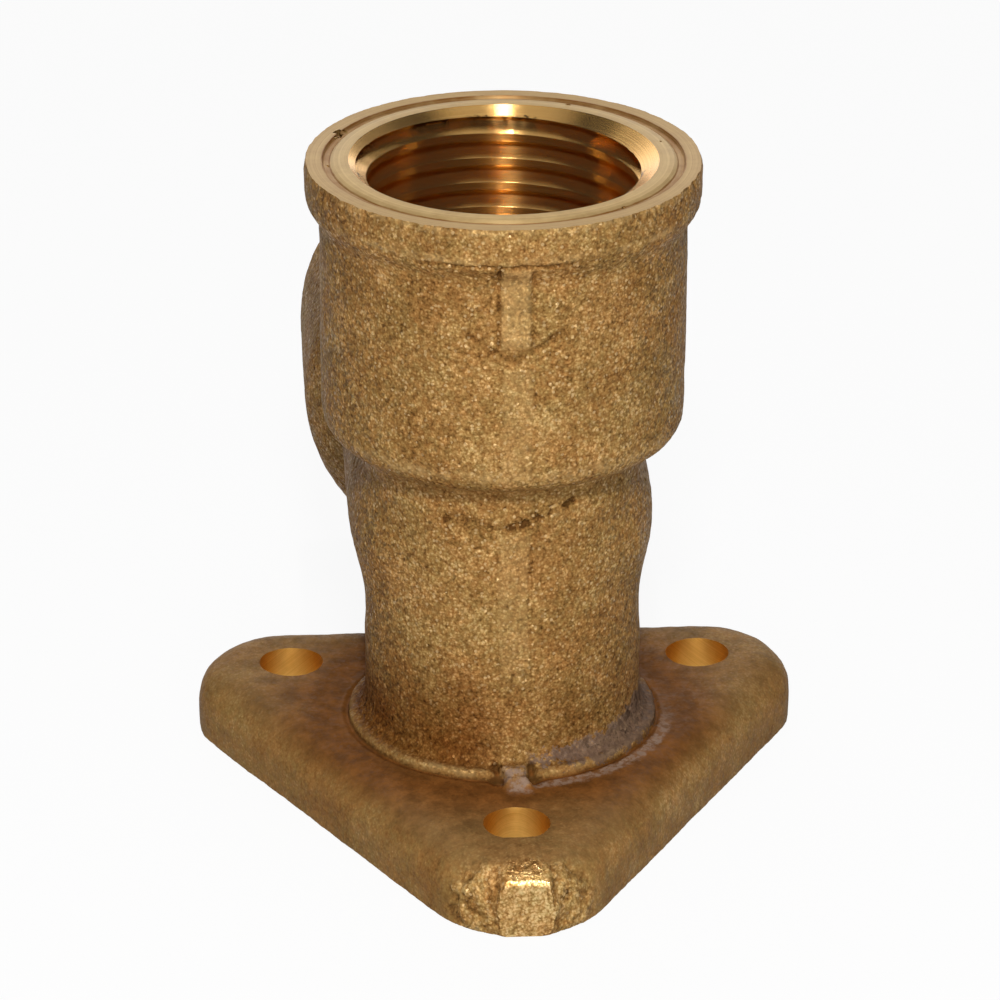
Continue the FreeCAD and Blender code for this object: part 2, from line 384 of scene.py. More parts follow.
@dataclass
class TapSocket:
    """Column with the tap socket on it: outside, tapped bore and waterway."""

    mouth: float = 46.7
    face_stock: float = 0.7
    sunk: float = 1
    column_foot: float = 9.7
    column_top: float = 9.55
    foot_radius: float = 10.75
    lip_top: float = 5.3
    flare_top: float = 6.8
    socket_radius: float = 12.55
    shoulder_top: float = 29.1
    shoulder_foot: float = 26.0
    shoulder_hollow: float = 0.42
    shoulder_fullness: float = 0.95
    collar_radius: float = 13.5
    collar_wall_foot: float = 44.35
    collar_foot: float = 43.0
    flare_leaving: Span = (0.45, 0.3)
    flare_arriving: float = 0.6
    stock_rounding: float = 1.1
    crest_radius: float = 9.316
    root_radius: float = 10.478
    pitch: float = 1.814
    thread_depth: float = 14.2
    thread_form: tuple[Span, ...] = (
        (0.0, 0.0), (0.13, 0.0), (0.17, 0.07), (0.41, 0.92), (0.45, 0.99), (0.5, 1.0),
        (0.55, 0.99), (0.59, 0.92), (0.83, 0.07), (0.87, 0.0), (1.0, 0.0),
    )
    tap_undercut: float = 0.02
    tap_lead: float = 1.5
    tap_spare_turns: int = 3
    tap_overrun: float = 1.2
    tap_taper: float = 0.5
    tap_taper_start: float = 0.15
    bore_depth: float = 15.0
    chamfer_radius: float = 10.52
    chamfer_depth: float = 0.8
    chamfer_overrun: float = 3
    drill_slope: float = 30
    drill_overlap: float = 0.6
    groove_depth: float = 0.22
    mouth_burr: float = 13.42
    facing_overrun: float = 4
    ragged: float = 0.07
    ragged_size: float = 0.8
    ragged_from: float = 1.7
    ragged_to: float = 1.0
    waterway: float = 7.4
    pits: tuple[tuple[float, float, float, float], ...] = (
        (-10.95, 5.5, 46.52, 0.36), (-10.6, 5.95, 46.55, 0.24), (-11.2, 5.0, 46.5, 0.2), (-4.6, 8.6, 45.95, 0.26),
        (-4.1, 8.75, 45.9, 0.2), (-5.2, 8.25, 45.9, 0.2), (-7.5, 6.2, 46.0, 0.24), (-8.4, 5.9, 46.25, 0.2),
        (5.1, 10.2, 46.66, 0.13), (2.6, 9.75, 46.3, 0.1), (9.2, 5.4, 46.5, 0.2), (8.6, 5.3, 46.1, 0.22),
        (10.9, 2.6, 46.62, 0.14), (-11.9, -0.4, 46.5, 0.13), (7.4, -9.2, 46.55, 0.12), (-8.9, -8.4, 46.6, 0.1),
    )
    pit_stretch: tuple[float, float, float] = (1.7, 1.0, 0.8)
    pit_ragged: float = 0.6
    pit_ragged_size: float = 0.3
    core_overlap: float = 1

    def raw_body(self) -> BMesh:
        """Column, socket and collar as cast, with stock on the mouth.

        Returns:
            The body.
        """
        shoulder = self.shoulder_top - self.shoulder_foot
        section = HalfSection().to((0, self.sunk), (self.foot_radius, self.sunk), (self.foot_radius, self.lip_top))
        hollow = (self.column_foot, (self.lip_top + self.flare_top) / 2)
        section.curve(hollow, hollow, (self.column_foot, self.flare_top))
        section.to((self.column_top, self.shoulder_foot))
        section.curve((self.column_top, self.shoulder_foot + self.shoulder_hollow * shoulder),
                      (self.socket_radius, self.shoulder_top - self.shoulder_fullness * shoulder),
                      (self.socket_radius, self.shoulder_top))
        section.to((self.socket_radius, self.collar_foot))
        out, up = self.flare_leaving
        section.curve((self.socket_radius + out, self.collar_foot + up),
                      (self.collar_radius, self.collar_wall_foot - self.flare_arriving),
                      (self.collar_radius, self.collar_wall_foot))
        top = self.mouth + self.face_stock
        section.to((self.collar_radius, self.mouth - 0.1))
        section.curve((self.collar_radius, self.mouth + 0.3), (self.collar_radius - 0.2, self.mouth + 0.5),
                      (self.collar_radius - self.stock_rounding, top))
        section.to((0, top))
        return section.turned()

    def facing_cut(self) -> BMesh:
        """What the facing tool takes off the mouth, with the ring its corner scored and the burr's edge.

        Returns:
            The tool's volume.
        """
        (inner, outer), floor, over = SCORED_RING, self.mouth - self.groove_depth, self.facing_overrun
        section = HalfSection().to((0, self.mouth), (inner, self.mouth), (inner + 0.05, self.mouth - 0.02))
        section.to((inner + 0.33, floor), (outer - 0.3, floor + 0.05), (outer - 0.1, floor + 0.01))
        section.to((outer, self.mouth), (self.mouth_burr, self.mouth), (self.mouth_burr + over, self.mouth - over))
        section.to((self.mouth_burr + over, self.mouth + over), (0, self.mouth + over))
        return section.turned(FINE_TURNING_STEPS)

    def pit_cuts(self) -> BMesh:
        """Small hollows that the facing and chamfering laid open.

        Returns:
            All the hollows.
        """
        body = bmesh.new()
        for x, y, z, radius in self.pits:
            made = bmesh.ops.create_icosphere(body, subdivisions=2, radius=1.0)
            along = Matrix.Rotation(math.atan2(y, x) + math.pi / 2, 4, "Z")
            stretch = Matrix.Diagonal((*(radius * share for share in self.pit_stretch), 1))
            shape = Matrix.Translation((x, y, z)) @ along @ stretch
            bmesh.ops.transform(body, matrix=shape, verts=made["verts"])
            for vert in made["verts"]:
                uneven = self.pit_ragged * speckle(vert.co, self.pit_ragged_size)
                vert.co += (vert.co - Vector((x, y, z))) * uneven
        return body

    def tapping_drill(self) -> BMesh:
        """Drill for the thread's crests, with the chamfer at the mouth.

        Returns:
            The drill.
        """
        end = self.mouth - self.bore_depth
        inner = self.waterway - self.drill_overlap
        cone = (self.crest_radius - inner) * math.tan(math.radians(self.drill_slope))
        top = self.mouth + self.chamfer_overrun
        section = HalfSection().to((0, end - cone), (inner, end - cone), (self.crest_radius, end))
        section.to((self.crest_radius, self.mouth - self.chamfer_depth))
        slope = (self.chamfer_radius - self.crest_radius) / self.chamfer_depth
        section.to((self.chamfer_radius + slope * self.chamfer_overrun, top), (0, top))
        return section.turned(FINE_TURNING_STEPS)

    def tap(self, steps: int = 160) -> BMesh:
        """Tap that cuts the thread, tapered where it starts to cut.

        Args:
            steps: Facets round one turn.

        Returns:
            The tap's cutting volume.
        """
        end = self.mouth - self.thread_depth
        turns = math.ceil(self.thread_depth / self.pitch) + self.tap_spare_turns
        body = bmesh.new()
        deep = self.root_radius - self.crest_radius
        base = self.crest_radius - self.tap_undercut
        start = end - self.tap_lead * self.pitch
        form = [(base + deep * out, 0, start + along * self.pitch) for along, out in self.thread_form]
        verts = [body.verts.new(point) for point in form]
        edges = [body.edges.new(pair) for pair in zip(verts, verts[1:])]
        bmesh.ops.spin(body, geom=verts + edges, cent=ORIGIN, axis=UP, dvec=UP * (self.pitch / steps),
                       angle=FULL_TURN, steps=steps)
        one_turn = body.verts[:] + body.edges[:] + body.faces[:]
        for turn in range(1, turns):
            copy = bmesh.ops.duplicate(body, geom=one_turn)["geom"]
            moved = [item for item in copy if isinstance(item, BMVert)]
            bmesh.ops.translate(body, vec=UP * (self.pitch * turn), verts=moved)
        bmesh.ops.remove_doubles(body, verts=body.verts, dist=STITCH_DISTANCE)
        for height, keep_up in ((end, True), (self.mouth + self.tap_overrun, False)):
            everything = body.verts[:] + body.edges[:] + body.faces[:]
            bmesh.ops.bisect_plane(body, geom=everything, plane_co=UP * height, plane_no=UP,
                                   clear_inner=keep_up, clear_outer=not keep_up)
            open_edges = [e for e in body.edges if e.is_boundary]
            rim = [e for e in open_edges if all(abs(v.co.z - height) < RIM_TOLERANCE for v in e.verts)]
            bmesh.ops.edgeloop_fill(body, edges=rim)
        for vert in body.verts:
            reach = math.hypot(vert.co.x, vert.co.y)
            limit = self.crest_radius - self.tap_taper_start + self.tap_taper * (vert.co.z - end)
            rough = smooth_step(self.mouth - self.ragged_from, self.mouth - self.ragged_to, vert.co.z) * self.ragged
            tear = rough * noise.fractal(vert.co / self.ragged_size, 0.7, 2.0, 2)
            share = min(reach, limit) / reach + tear / reach
            vert.co.x *= share
            vert.co.y *= share
        bmesh.ops.recalc_face_normals(body, faces=body.faces)
        return body

    def core(self) -> BMesh:
        """Sand core of the waterway under the thread."""
        foot, top = TUBE_AXIS_HEIGHT, self.mouth - self.bore_depth + self.core_overlap
        return HalfSection().to((0, foot), (self.waterway, foot), (self.waterway, top), (0, top)).turned()


@dataclass
class TubeLeg:
    """Leg that leaves the column at a right angle and ends in a solder socket."""

    length: float = 38.2
    setback: float = 1.4
    neck_radius: float = 10.67
    neck_end: float = 18.55
    socket_radius: float = 13.15
    socket_foot: float = 23.05
    edge_stock: float = 0.7
    bore_radius: float = 11.05
    bore_depth: float = 15.4
    mouth_chamfer: float = 0.4
    waterway: float = 8.5
    core_overlap: float = 1
    bore_overrun: float = 3
    shoulder_leaving: Span = (1.25, 1.0)
    shoulder_arriving: float = 1.75
    stock_rounding: float = 0.8
    facing_low: Span = (-20, -1)
    facing_high: Span = (20, 45)
    facing_depth: float = 6

    def laid(self, body: BMesh) -> BMesh:
        """The body, laid from the vertical along the leg's axis."""
        lying = Matrix.Rotation(math.radians(-90), 4, "X")
        return placed(body, Matrix.Translation(UP * TUBE_AXIS_HEIGHT) @ lying)

    def round_end(self, section: HalfSection, radius: float) -> HalfSection:
        """Quarter round from the axis out to the wall, round the elbow's middle.

        Args:
            section: Section that it starts.
            radius: Radius of the wall.

        Returns:
            The section itself.
        """
        handle = radius * 4 / 3 * math.tan(math.radians(22.5))
        section.to((0, self.setback - radius))
        return section.curve((handle, self.setback - radius), (radius, self.setback - handle),
                             (radius, self.setback), steps=24)

    def raw_body(self) -> BMesh:
        """Rounded elbow, neck and socket as cast, with stock on the end.

        Returns:
            The body.
        """
        section = self.round_end(HalfSection(), self.neck_radius)
        section.to((self.neck_radius, self.neck_end))
        out, up = self.shoulder_leaving
        section.curve((self.neck_radius + out, self.neck_end + up),
                      (self.socket_radius, self.socket_foot - self.shoulder_arriving),
                      (self.socket_radius, self.socket_foot))
        top = self.length + self.edge_stock
        section.to((self.socket_radius, self.length - 0.5))
        section.curve((self.socket_radius, self.length), (self.socket_radius - 0.1, self.length + 0.3),
                      (self.socket_radius - self.stock_rounding, top))
        section.to((0, top))
        return self.laid(section.turned())

    def core(self) -> BMesh:
        """Sand core of the waterway, round at the elbow.

        Returns:
            The core.
        """
        section = self.round_end(HalfSection(), self.waterway)
        top = self.length - self.bore_depth + self.core_overlap
        section.to((self.waterway, top), (0, top))
        return self.laid(section.turned())

    def end_cut(self) -> BMesh:
        """What the facing tool takes off the tube mouth."""
        (left, foot), (right, top) = self.facing_low, self.facing_high
        return block((left, self.length, foot), (right, self.length + self.facing_depth, top))

    def bore(self) -> BMesh:
        """Boring tool of the solder socket, with its stop and mouth chamfer.

        Returns:
            The tool's volume.
        """
        stop = self.length - self.bore_depth
        chamfer, top = self.length - self.mouth_chamfer, self.length + self.bore_overrun
        section = HalfSection().to((0, stop), (self.bore_radius, stop), (self.bore_radius, chamfer))
        section.to((self.bore_radius + self.mouth_chamfer + self.bore_overrun, top), (0, top))
        return self.laid(section.turned(FINE_TURNING_STEPS))


class Mark(Protocol):
    """A mark that the mould left in one place of the casting."""

    def holds(self, place: Vector) -> bool:
        """Whether a place belongs to the mark."""

    def height(self, place: Vector) -> float:
        """Height of the mark's relief at a place."""


@dataclass
class ArrowMark:
    """Joint of the mould on the socket's front: a raised stripe, a chevron under it and a line on the collar."""

    middle: float = 0.09
    half_width: float = 1.05
    foot: float = 37.6
    top: float = 44.05
    tip: float = 36.95
    slope: float = 0.61
    arm: float = 3.2
    front: float = -9
    mark_half: float = 4.1
    mark_heights: Span = (36.2, 45.0)
    line_half: float = 9.5
    line_heights: Span = (43.6, 44.5)
    stripe_rise: float = 0.10
    edge_depth: float = 0.17
    chevron_depth: float = 0.18
    line_depth: float = 0.17

    def holds(self, place: Vector) -> bool:
        """Whether a place lies on the front of the socket, or on the collar's line.

        Args:
            place: Place on the casting, in millimetres.

        Returns:
            True where it does.
        """
        across = abs(place.x - self.middle)
        on_mark = across < self.mark_half and self.mark_heights[0] < place.z < self.mark_heights[1]
        on_line = across < self.line_half and self.line_heights[0] < place.z < self.line_heights[1]
        return place.y < self.front and (on_mark or on_line)

    def height(self, place: Vector) -> float:
        """Stripe up, its edges, the chevron and the collar's line down.

        Args:
            place: Place on the casting, in millimetres.

        Returns:
            The height, in millimetres.
        """
        across = place.x - self.middle
        worn = 0.5 + 1.1 * speckle(place, 0.9, (4, 1, 6))
        run = smooth_step(self.foot, self.foot + 0.8, place.z) * (1 - smooth_step(self.top - 0.5, self.top, place.z))
        height = self.stripe_rise * band(across, self.half_width - 0.1, 0.2) * run
        height -= self.edge_depth * worn * band(abs(across) - self.half_width - 0.08, 0.06, 0.22) * run
        slant = place.z - (self.tip + self.slope * abs(across + 0.2))
        height -= self.chevron_depth * max(0.5, worn) * band(slant, 0.1, 0.32) * band(across, self.arm, 0.5)
        wave = 0.05 * math.sin(2.2 * place.x)
        line = band(across - 0.5, 2.1, 0.7) + 0.4 * band(across + 1.5, 3.2, 1.0) + 0.35 * band(across, 5.5, 3.5)
        return height - self.line_depth * min(1.0, line) * band(place.z - self.top - wave, 0.03, 0.13)


@dataclass
class PartingStripe:
    """Flat stripe that the mould's joint left down the front of the socket and the column."""

    low: float = -0.85
    high: float = 1.25
    rise: float = 0.05
    crease_depth: float = 0.07
    front: float = -7
    margin: float = 0.6
    column_heights: Span = (9.8, 23.0)
    socket_heights: Span = (28.0, 36.4)

    def holds(self, place: Vector) -> bool:
        """Whether a place lies along the joint, below the arrow."""
        spans = any(low < place.z < high for low, high in (self.column_heights, self.socket_heights))
        return place.y < self.front and spans and self.low - self.margin < place.x < self.high + self.margin

    def height(self, place: Vector) -> float:
        """Stripe up, with a fine crease along its edges.

        Args:
            place: Place on the casting, in millimetres.

        Returns:
            The height, in millimetres.
        """
        middle, half = (self.low + self.high) / 2, (self.high - self.low) / 2
        across = place.x - middle - 0.08 * math.sin(place.z / 1.7)
        worn = 0.5 + 1.2 * speckle(place, 1.3, (8, 2, 3))
        crease = self.crease_depth * band(abs(across) - half - 0.06, 0.03, 0.16) * worn
        return (self.rise * band(across, half - 0.1, 0.2) - crease) * smooth_step(10.0, 15.0, place.z)


@dataclass
class ColumnPits:
    """Bent line of pits on the column's front, under the socket."""

    tip: Span = (-0.15, 23.4)
    left_slope: float = 0.14
    right_slope: float = 0.40
    reach: float = 4.6
    left_depth: float = 0.14
    right_depth: float = 0.24
    worn_depth: float = 0.05

    def holds(self, place: Vector) -> bool:
        """Whether a place lies on the column's front near the line."""
        return place.y < -5 and -4.6 < place.x < 5.6 and 22.4 < place.z < 26.0

    def height(self, place: Vector) -> float:
        """Pits down, where the sand broke away.

        Args:
            place: Place on the casting, in millimetres.

        Returns:
            The height, in millimetres.
        """
        across = place.x - self.tip[0]
        rise = self.left_slope * -across if across < 0 else min(self.right_slope * across, 1.0 + 0.1 * across)
        line = band(place.z - self.tip[1] - rise, 0.12, 0.5)
        holes = smooth_step(0.12, 0.36, speckle(place, 0.44, (5, 5, 5)))
        depth = self.right_depth if across > 0 else self.left_depth
        worn = self.worn_depth * line * (0.6 + speckle(place, 0.8))
        return -(depth * line * holes + worn) * band(across, self.reach, 0.8)


@dataclass
class FootCrease:
    """Crease under the column's flared foot, bridged by a web on the mould's parting."""

    radius: float = 10.92
    level: float = 4.93
    lip_radius: float = 10.74
    lip_level: float = 5.42
    lip_rise: float = 0.26
    crease_depth: float = 0.30
    web: float = 0.3
    web_half: float = 0.75
    web_lean: float = 0.15
    web_rise: float = 0.62
    recess_depth: float = 0.60

    def holds(self, place: Vector) -> bool:
        """Whether a place lies on the ring of the foot.

        Args:
            place: Place on the casting, in millimetres.

        Returns:
            True where it does.
        """
        reach = math.hypot(place.x, place.y)
        near = 13.4 if place.y < -9 and abs(place.x - self.web) < 2.4 else 12.2
        return 10.0 < reach < near and 4.5 < place.z < 6.2 and place.y < 8

    def height(self, place: Vector) -> float:
        """Lip up, crease down, and the web across both with a recess on each side.

        Args:
            place: Place on the casting, in millimetres.

        Returns:
            The height, in millimetres.
        """
        reach = math.hypot(place.x, place.y)
        from_crease = math.hypot(reach - self.radius, place.z - self.level)
        from_lip = math.hypot(reach - self.lip_radius, place.z - self.lip_level)
        across = place.x - self.web - self.web_lean * (reach - self.radius)
        front = smooth_step(-9.0, -10.0, place.y)
        waist = self.web_half + 0.35 * abs(reach - self.radius - 0.2)
        bridge = front * band(across, waist - 0.3, 0.45)
        uneven = 0.75 + 0.7 * speckle(place, 1.6, (2, 6, 1))
        uneven *= 0.45 + 0.55 * smooth_step(-9.5, -5.0, place.x)
        height = self.lip_rise * uneven * band(from_lip, 0.12, 0.42)
        height -= self.crease_depth * band(from_crease, 0.14, 0.28)
        ragged = 0.25 * speckle(place, 0.5, (3, 3, 1))
        wedge = 0.9 - 0.75 * smooth_step(4.9, 6.2, place.z) + ragged
        side = front * band(abs(across) - self.web_half - 0.4, 0.1, max(0.15, wedge))
        height -= self.recess_depth * side * band(from_lip, 0.35, 0.75)
        web_run = 1 - smooth_step(1.0, 2.1, reach - self.radius)
        web = self.web_rise * web_run * band(from_crease, 0.5, 1.1)
        height = height * (1 - bridge) + bridge * web
        return height * smooth_step(8.0, 3.0, place.y)


@dataclass
class GateCorner:
    """Ridge from the front hole to the gate's stub, with lumps and creases beside the stub."""

    middle: float = 0.1
    ridge_half: float = 0.85
    ridge_rise: float = 0.17
    lump_rise: float = 0.24
    stub: Span = (-1.81, 2.0)
    groove_depth: float = 0.15
    pit: tuple[float, float, float] = (-4.1, -23.1, 3.35)
    pit_depth: float = 0.5

    def holds(self, place: Vector) -> bool:
        """Whether a place lies on the plate's first corner."""
        return place.y < -18.8 and abs(place.x) < 6.2 and place.z > 0.2

    def height(self, place: Vector) -> float:
        """Ridge and lumps up, the creases along the stub down.

        Args:
            place: Place on the casting, in millimetres.

        Returns:
            The height, in millimetres.
        """
        on_top = smooth_step(3.4, 4.6, place.z)
        ridge = band(place.x - self.middle, self.ridge_half, 0.45)
        height = self.ridge_rise * ridge * on_top * smooth_step(-18.8, -19.5, place.y)
        lumps = clumps(place, 1.0, (2, 4, 8))
        beside = max(band(place.x + 3.2, 1.2, 1.2), 0.8 * band(place.x - 3.4, 1.0, 1.4))
        height += self.lump_rise * beside * lumps * smooth_step(-20.8, -22.0, place.y)
        left, right = (band(place.x - side, 0.06, 0.24) for side in self.stub)
        worn = 0.7 + 0.8 * speckle(place, 0.8, (1, 7, 2))
        groove = left * smooth_step(2.2, 3.4, place.z) + 0.8 * right * smooth_step(0.5, 1.4, place.z)
        height -= self.groove_depth * worn * groove * smooth_step(-21.7, -22.6, place.y)
        from_pit = (place - Vector(self.pit)).length
        return height - self.pit_depth * band(from_pit, 0.16, 0.22)


@dataclass
class MouthEdge:
    """Nicks along the collar's upper edge, where the casting was rough under the facing tool."""

    foot: float = 45.3
    depth: float = 0.10

    def holds(self, place: Vector) -> bool:
        """Whether a place lies on the front half of the collar's upper wall."""
        return place.z > self.foot and math.hypot(place.x, place.y) > 12.6 and place.y < -4

    def height(self, place: Vector) -> float:
        """Rough lumps, stronger towards the edge."""
        lumps = clumps(place, 0.55, (6, 3, 9))
        return self.depth * lumps * smooth_step(self.foot, self.foot + 1.1, place.z)


@dataclass
class SandSkin:
    """Relief that the sand mould leaves: swells, lumps, grains and the marks of this casting."""

    swell: float = 0.07
    swell_size: float = 9.0
    lump: float = 0.045
    lump_size: float = 2.2
    grain: float = 0.035
    grain_size: float = 0.7
    marks: tuple[Mark, ...] = (ArrowMark(), PartingStripe(), ColumnPits(), FootCrease(), GateCorner(), MouthEdge())

    def grit(self, place: Vector) -> float:
        """Height of the plain sand relief at a place.

        Args:
            place: Place on the casting, in millimetres.

        Returns:
            The height, in millimetres.
        """
        broad = speckle(place, self.swell_size, (3.1, 7.7, 1.3))
        lumps = clumps(place, self.lump_size, (11.0, 2.0, 5.0), 2.1)
        grains = speckle(place, self.grain_size, (0.7, 9.2, 4.4))
        return self.swell * broad + self.lump * lumps + self.grain * grains

    def marked(self, place: Vector) -> bool:
        """Whether any mark holds a place."""
        return any(mark.holds(place) for mark in self.marks)

    def mark_height(self, place: Vector) -> float:
        """Height of the marks at a place."""
        return sum(mark.height(place) for mark in self.marks if mark.holds(place))


@dataclass
class ElbowCasting:
    """The whole elbow: raw casting, sand skin and machining."""

    plate: WallPlate = field(default_factory=WallPlate)
    tap_socket: TapSocket = field(default_factory=TapSocket)
    tube_leg: TubeLeg = field(default_factory=TubeLeg)
    sand: SandSkin = field(default_factory=SandSkin)
    voxel: float = 0.45
    round_passes: int = 3
    seam_passes: int = 30
    fine_cuts: int = 2
    fine_passes: int = 5
    seam_reach: float = 1.3
    crevice_depth: float = 0.16
    deepest: float = 1.5
    proud_height: float = 0.1
    sharp_angle: float = 32

    def raw_casting(self) -> Object:
        """All bodies grown into one closed skin.

        Returns:
            The raw casting.
        """
        whole = bmesh.new()
        plate = (self.plate.raw_plate(), self.plate.raw_gate())
        for body in (*plate, self.tap_socket.raw_body(), self.tube_leg.raw_body()):
            part = bpy.data.meshes.new("raw")
            body.to_mesh(part)
            body.free()
            whole.from_mesh(part)
            bpy.data.meshes.remove(part)
        casting = as_object("cast_elbow", whole, Surface.CAST_SKIN)
        grown = casting.modifiers.new("grown", "REMESH")
        grown.mode = "VOXEL"
        grown.voxel_size = self.voxel
        apply_modifiers(casting)
        return casting

    def at_seam(self, place: Vector) -> bool:
        """Whether a place lies where the tube leg meets the column.

        Args:
            place: Place on the casting, in millimetres.

        Returns:
            True where it does.
        """
        column = abs(math.hypot(place.x, place.y) - self.tap_socket.column_top)
        neck = abs(math.hypot(place.x, place.z - TUBE_AXIS_HEIGHT) - self.tube_leg.neck_radius)
        return column < self.seam_reach and neck < self.seam_reach

    def rounded(self, verts: Sequence[BMVert], skin: BMesh, passes: int) -> None:
        """Evens out a part of the skin.

        Args:
            verts: Points that move.
            skin: The skin that they belong to.
            passes: How often each moves half way to its neighbours' middle.
        """
        for _ in range(passes):
            bmesh.ops.smooth_vert(skin, verts=verts, factor=0.5, use_axis_x=True, use_axis_y=True, use_axis_z=True)

    def refine(self, skin: BMesh) -> None:
        """Divides the facets where the casting shows small marks.

        Args:
            skin: Skin of the casting.
        """
        marked = [face for face in skin.faces if self.sand.marked(face.calc_center_median())]
        edges = list({edge for face in marked for edge in face.edges})
        bmesh.ops.subdivide_edges(skin, edges=edges, cuts=self.fine_cuts, use_grid_fill=True)
        self.rounded([vert for vert in skin.verts if self.sand.marked(vert.co)], skin, self.fine_passes)

    def roughen(self, casting: Object) -> None:
        """Rounds the skin's seams and lays the sand's relief and marks on it.

        Args:
            casting: The raw casting.
        """
        skin = bmesh.new()
        skin.from_mesh(casting.data)
        self.rounded(skin.verts[:], skin, self.round_passes)
        self.rounded([vert for vert in skin.verts if self.at_seam(vert.co)], skin, self.seam_passes)
        self.refine(skin)
        skin.normal_update()
        # crevice holds how deep each point lies in a mark, and the skin's material darkens it by that as painted
        # shade; proud holds how far it stands up.
        crevice = skin.verts.layers.float.new("crevice")
        proud = skin.verts.layers.float.new("proud")
        reliefs = [(self.sand.grit(vert.co), self.sand.mark_height(vert.co)) for vert in skin.verts]
        for vert, (grit, mark) in zip(skin.verts, reliefs):
            vert.co += vert.normal * (grit + mark)
            vert[crevice] = min(self.deepest, max(0.0, -mark / self.crevice_depth))
            vert[proud] = min(1.0, max(0.0, mark / self.proud_height))
        self.keep_in_box(skin)
        skin.to_mesh(casting.data)
        skin.free()

    def keep_in_box(self, skin: BMesh) -> None:
        """Presses what the relief lifts past the part's sides and front back to them.

        Args:
            skin: Skin of the casting.
        """
        low, high = (corner / MM for corner in cad_box)
        for vert in skin.verts:
            vert.co.x = min(max(vert.co.x, low.x), high.x)
            vert.co.y = max(vert.co.y, low.y - self.plate.gate_stock)

    def machine(self, casting: Object) -> None:
        """Cuts the faces, bores, thread and screw holes, in the order of the shop's work.

        Args:
            casting: The roughened casting.
        """
        cut(casting, self.plate.wall_grind(), Surface.LINISHED)
        cut(casting, self.plate.gate_grind(), Surface.GROUND)
        cut(casting, self.tap_socket.core(), Surface.CORED)
        cut(casting, self.tube_leg.core(), Surface.CORED)
        cut(casting, self.tube_leg.end_cut(), Surface.TUBE_FACE)
        cut(casting, self.tube_leg.bore(), Surface.BORED)
        cut(casting, self.tap_socket.facing_cut(), Surface.MOUTH_FACE)
        cut(casting, self.tap_socket.tapping_drill(), Surface.TAPPED)
        cut(casting, self.tap_socket.tap(), Surface.TAPPED)
        cut(casting, self.tap_socket.pit_cuts(), Surface.CORED)
        for drill in self.plate.screw_drills():
            cut(casting, drill, Surface.DRILLED)

    def finish_mesh(self, casting: Object) -> None:
        """Brings the mesh to metres and keeps the machined edges sharp.

        Args:
            casting: The machined casting.
        """
        skin = bmesh.new()
        skin.from_mesh(casting.data)
        for edge in skin.edges:
            kinds = {face.material_index for face in edge.link_faces}
            machined = kinds - {Surface.CAST_SKIN.value, Surface.CORED.value}
            bent = edge.calc_face_angle(0.0) > math.radians(self.sharp_angle)
            edge.smooth = not (len(kinds) > 1 or (machined and bent))
        for face in skin.faces:
            face.smooth = True
        bmesh.ops.scale(skin, vec=Vector((MM, MM, MM)), verts=skin.verts)
        skin.to_mesh(casting.data)
        skin.free()

    def build(self) -> Object:
        """Makes the casting, from the sand to the last hole.

        Returns:
            The finished piece, in metres.
        """
        casting = self.raw_casting()
        log.info("raw casting: %d faces", len(casting.data.polygons))
        self.roughen(casting)
        log.info("roughened skin: %d faces", len(casting.data.polygons))
        self.machine(casting)
        self.finish_mesh(casting)
        casting.data.calc_loop_triangles()
        log.info("machined casting: %d triangles", len(casting.data.loop_triangles))
        return casting

    def dress(self, casting: Object, finishes: dict[Surface, Material]) -> None:
        """Gives each surface its finish.

        Args:
            casting: The finished piece.
            finishes: Material of each surface.
        """
        for surface in Surface:
            casting.data.materials[surface.value] = finishes[surface]


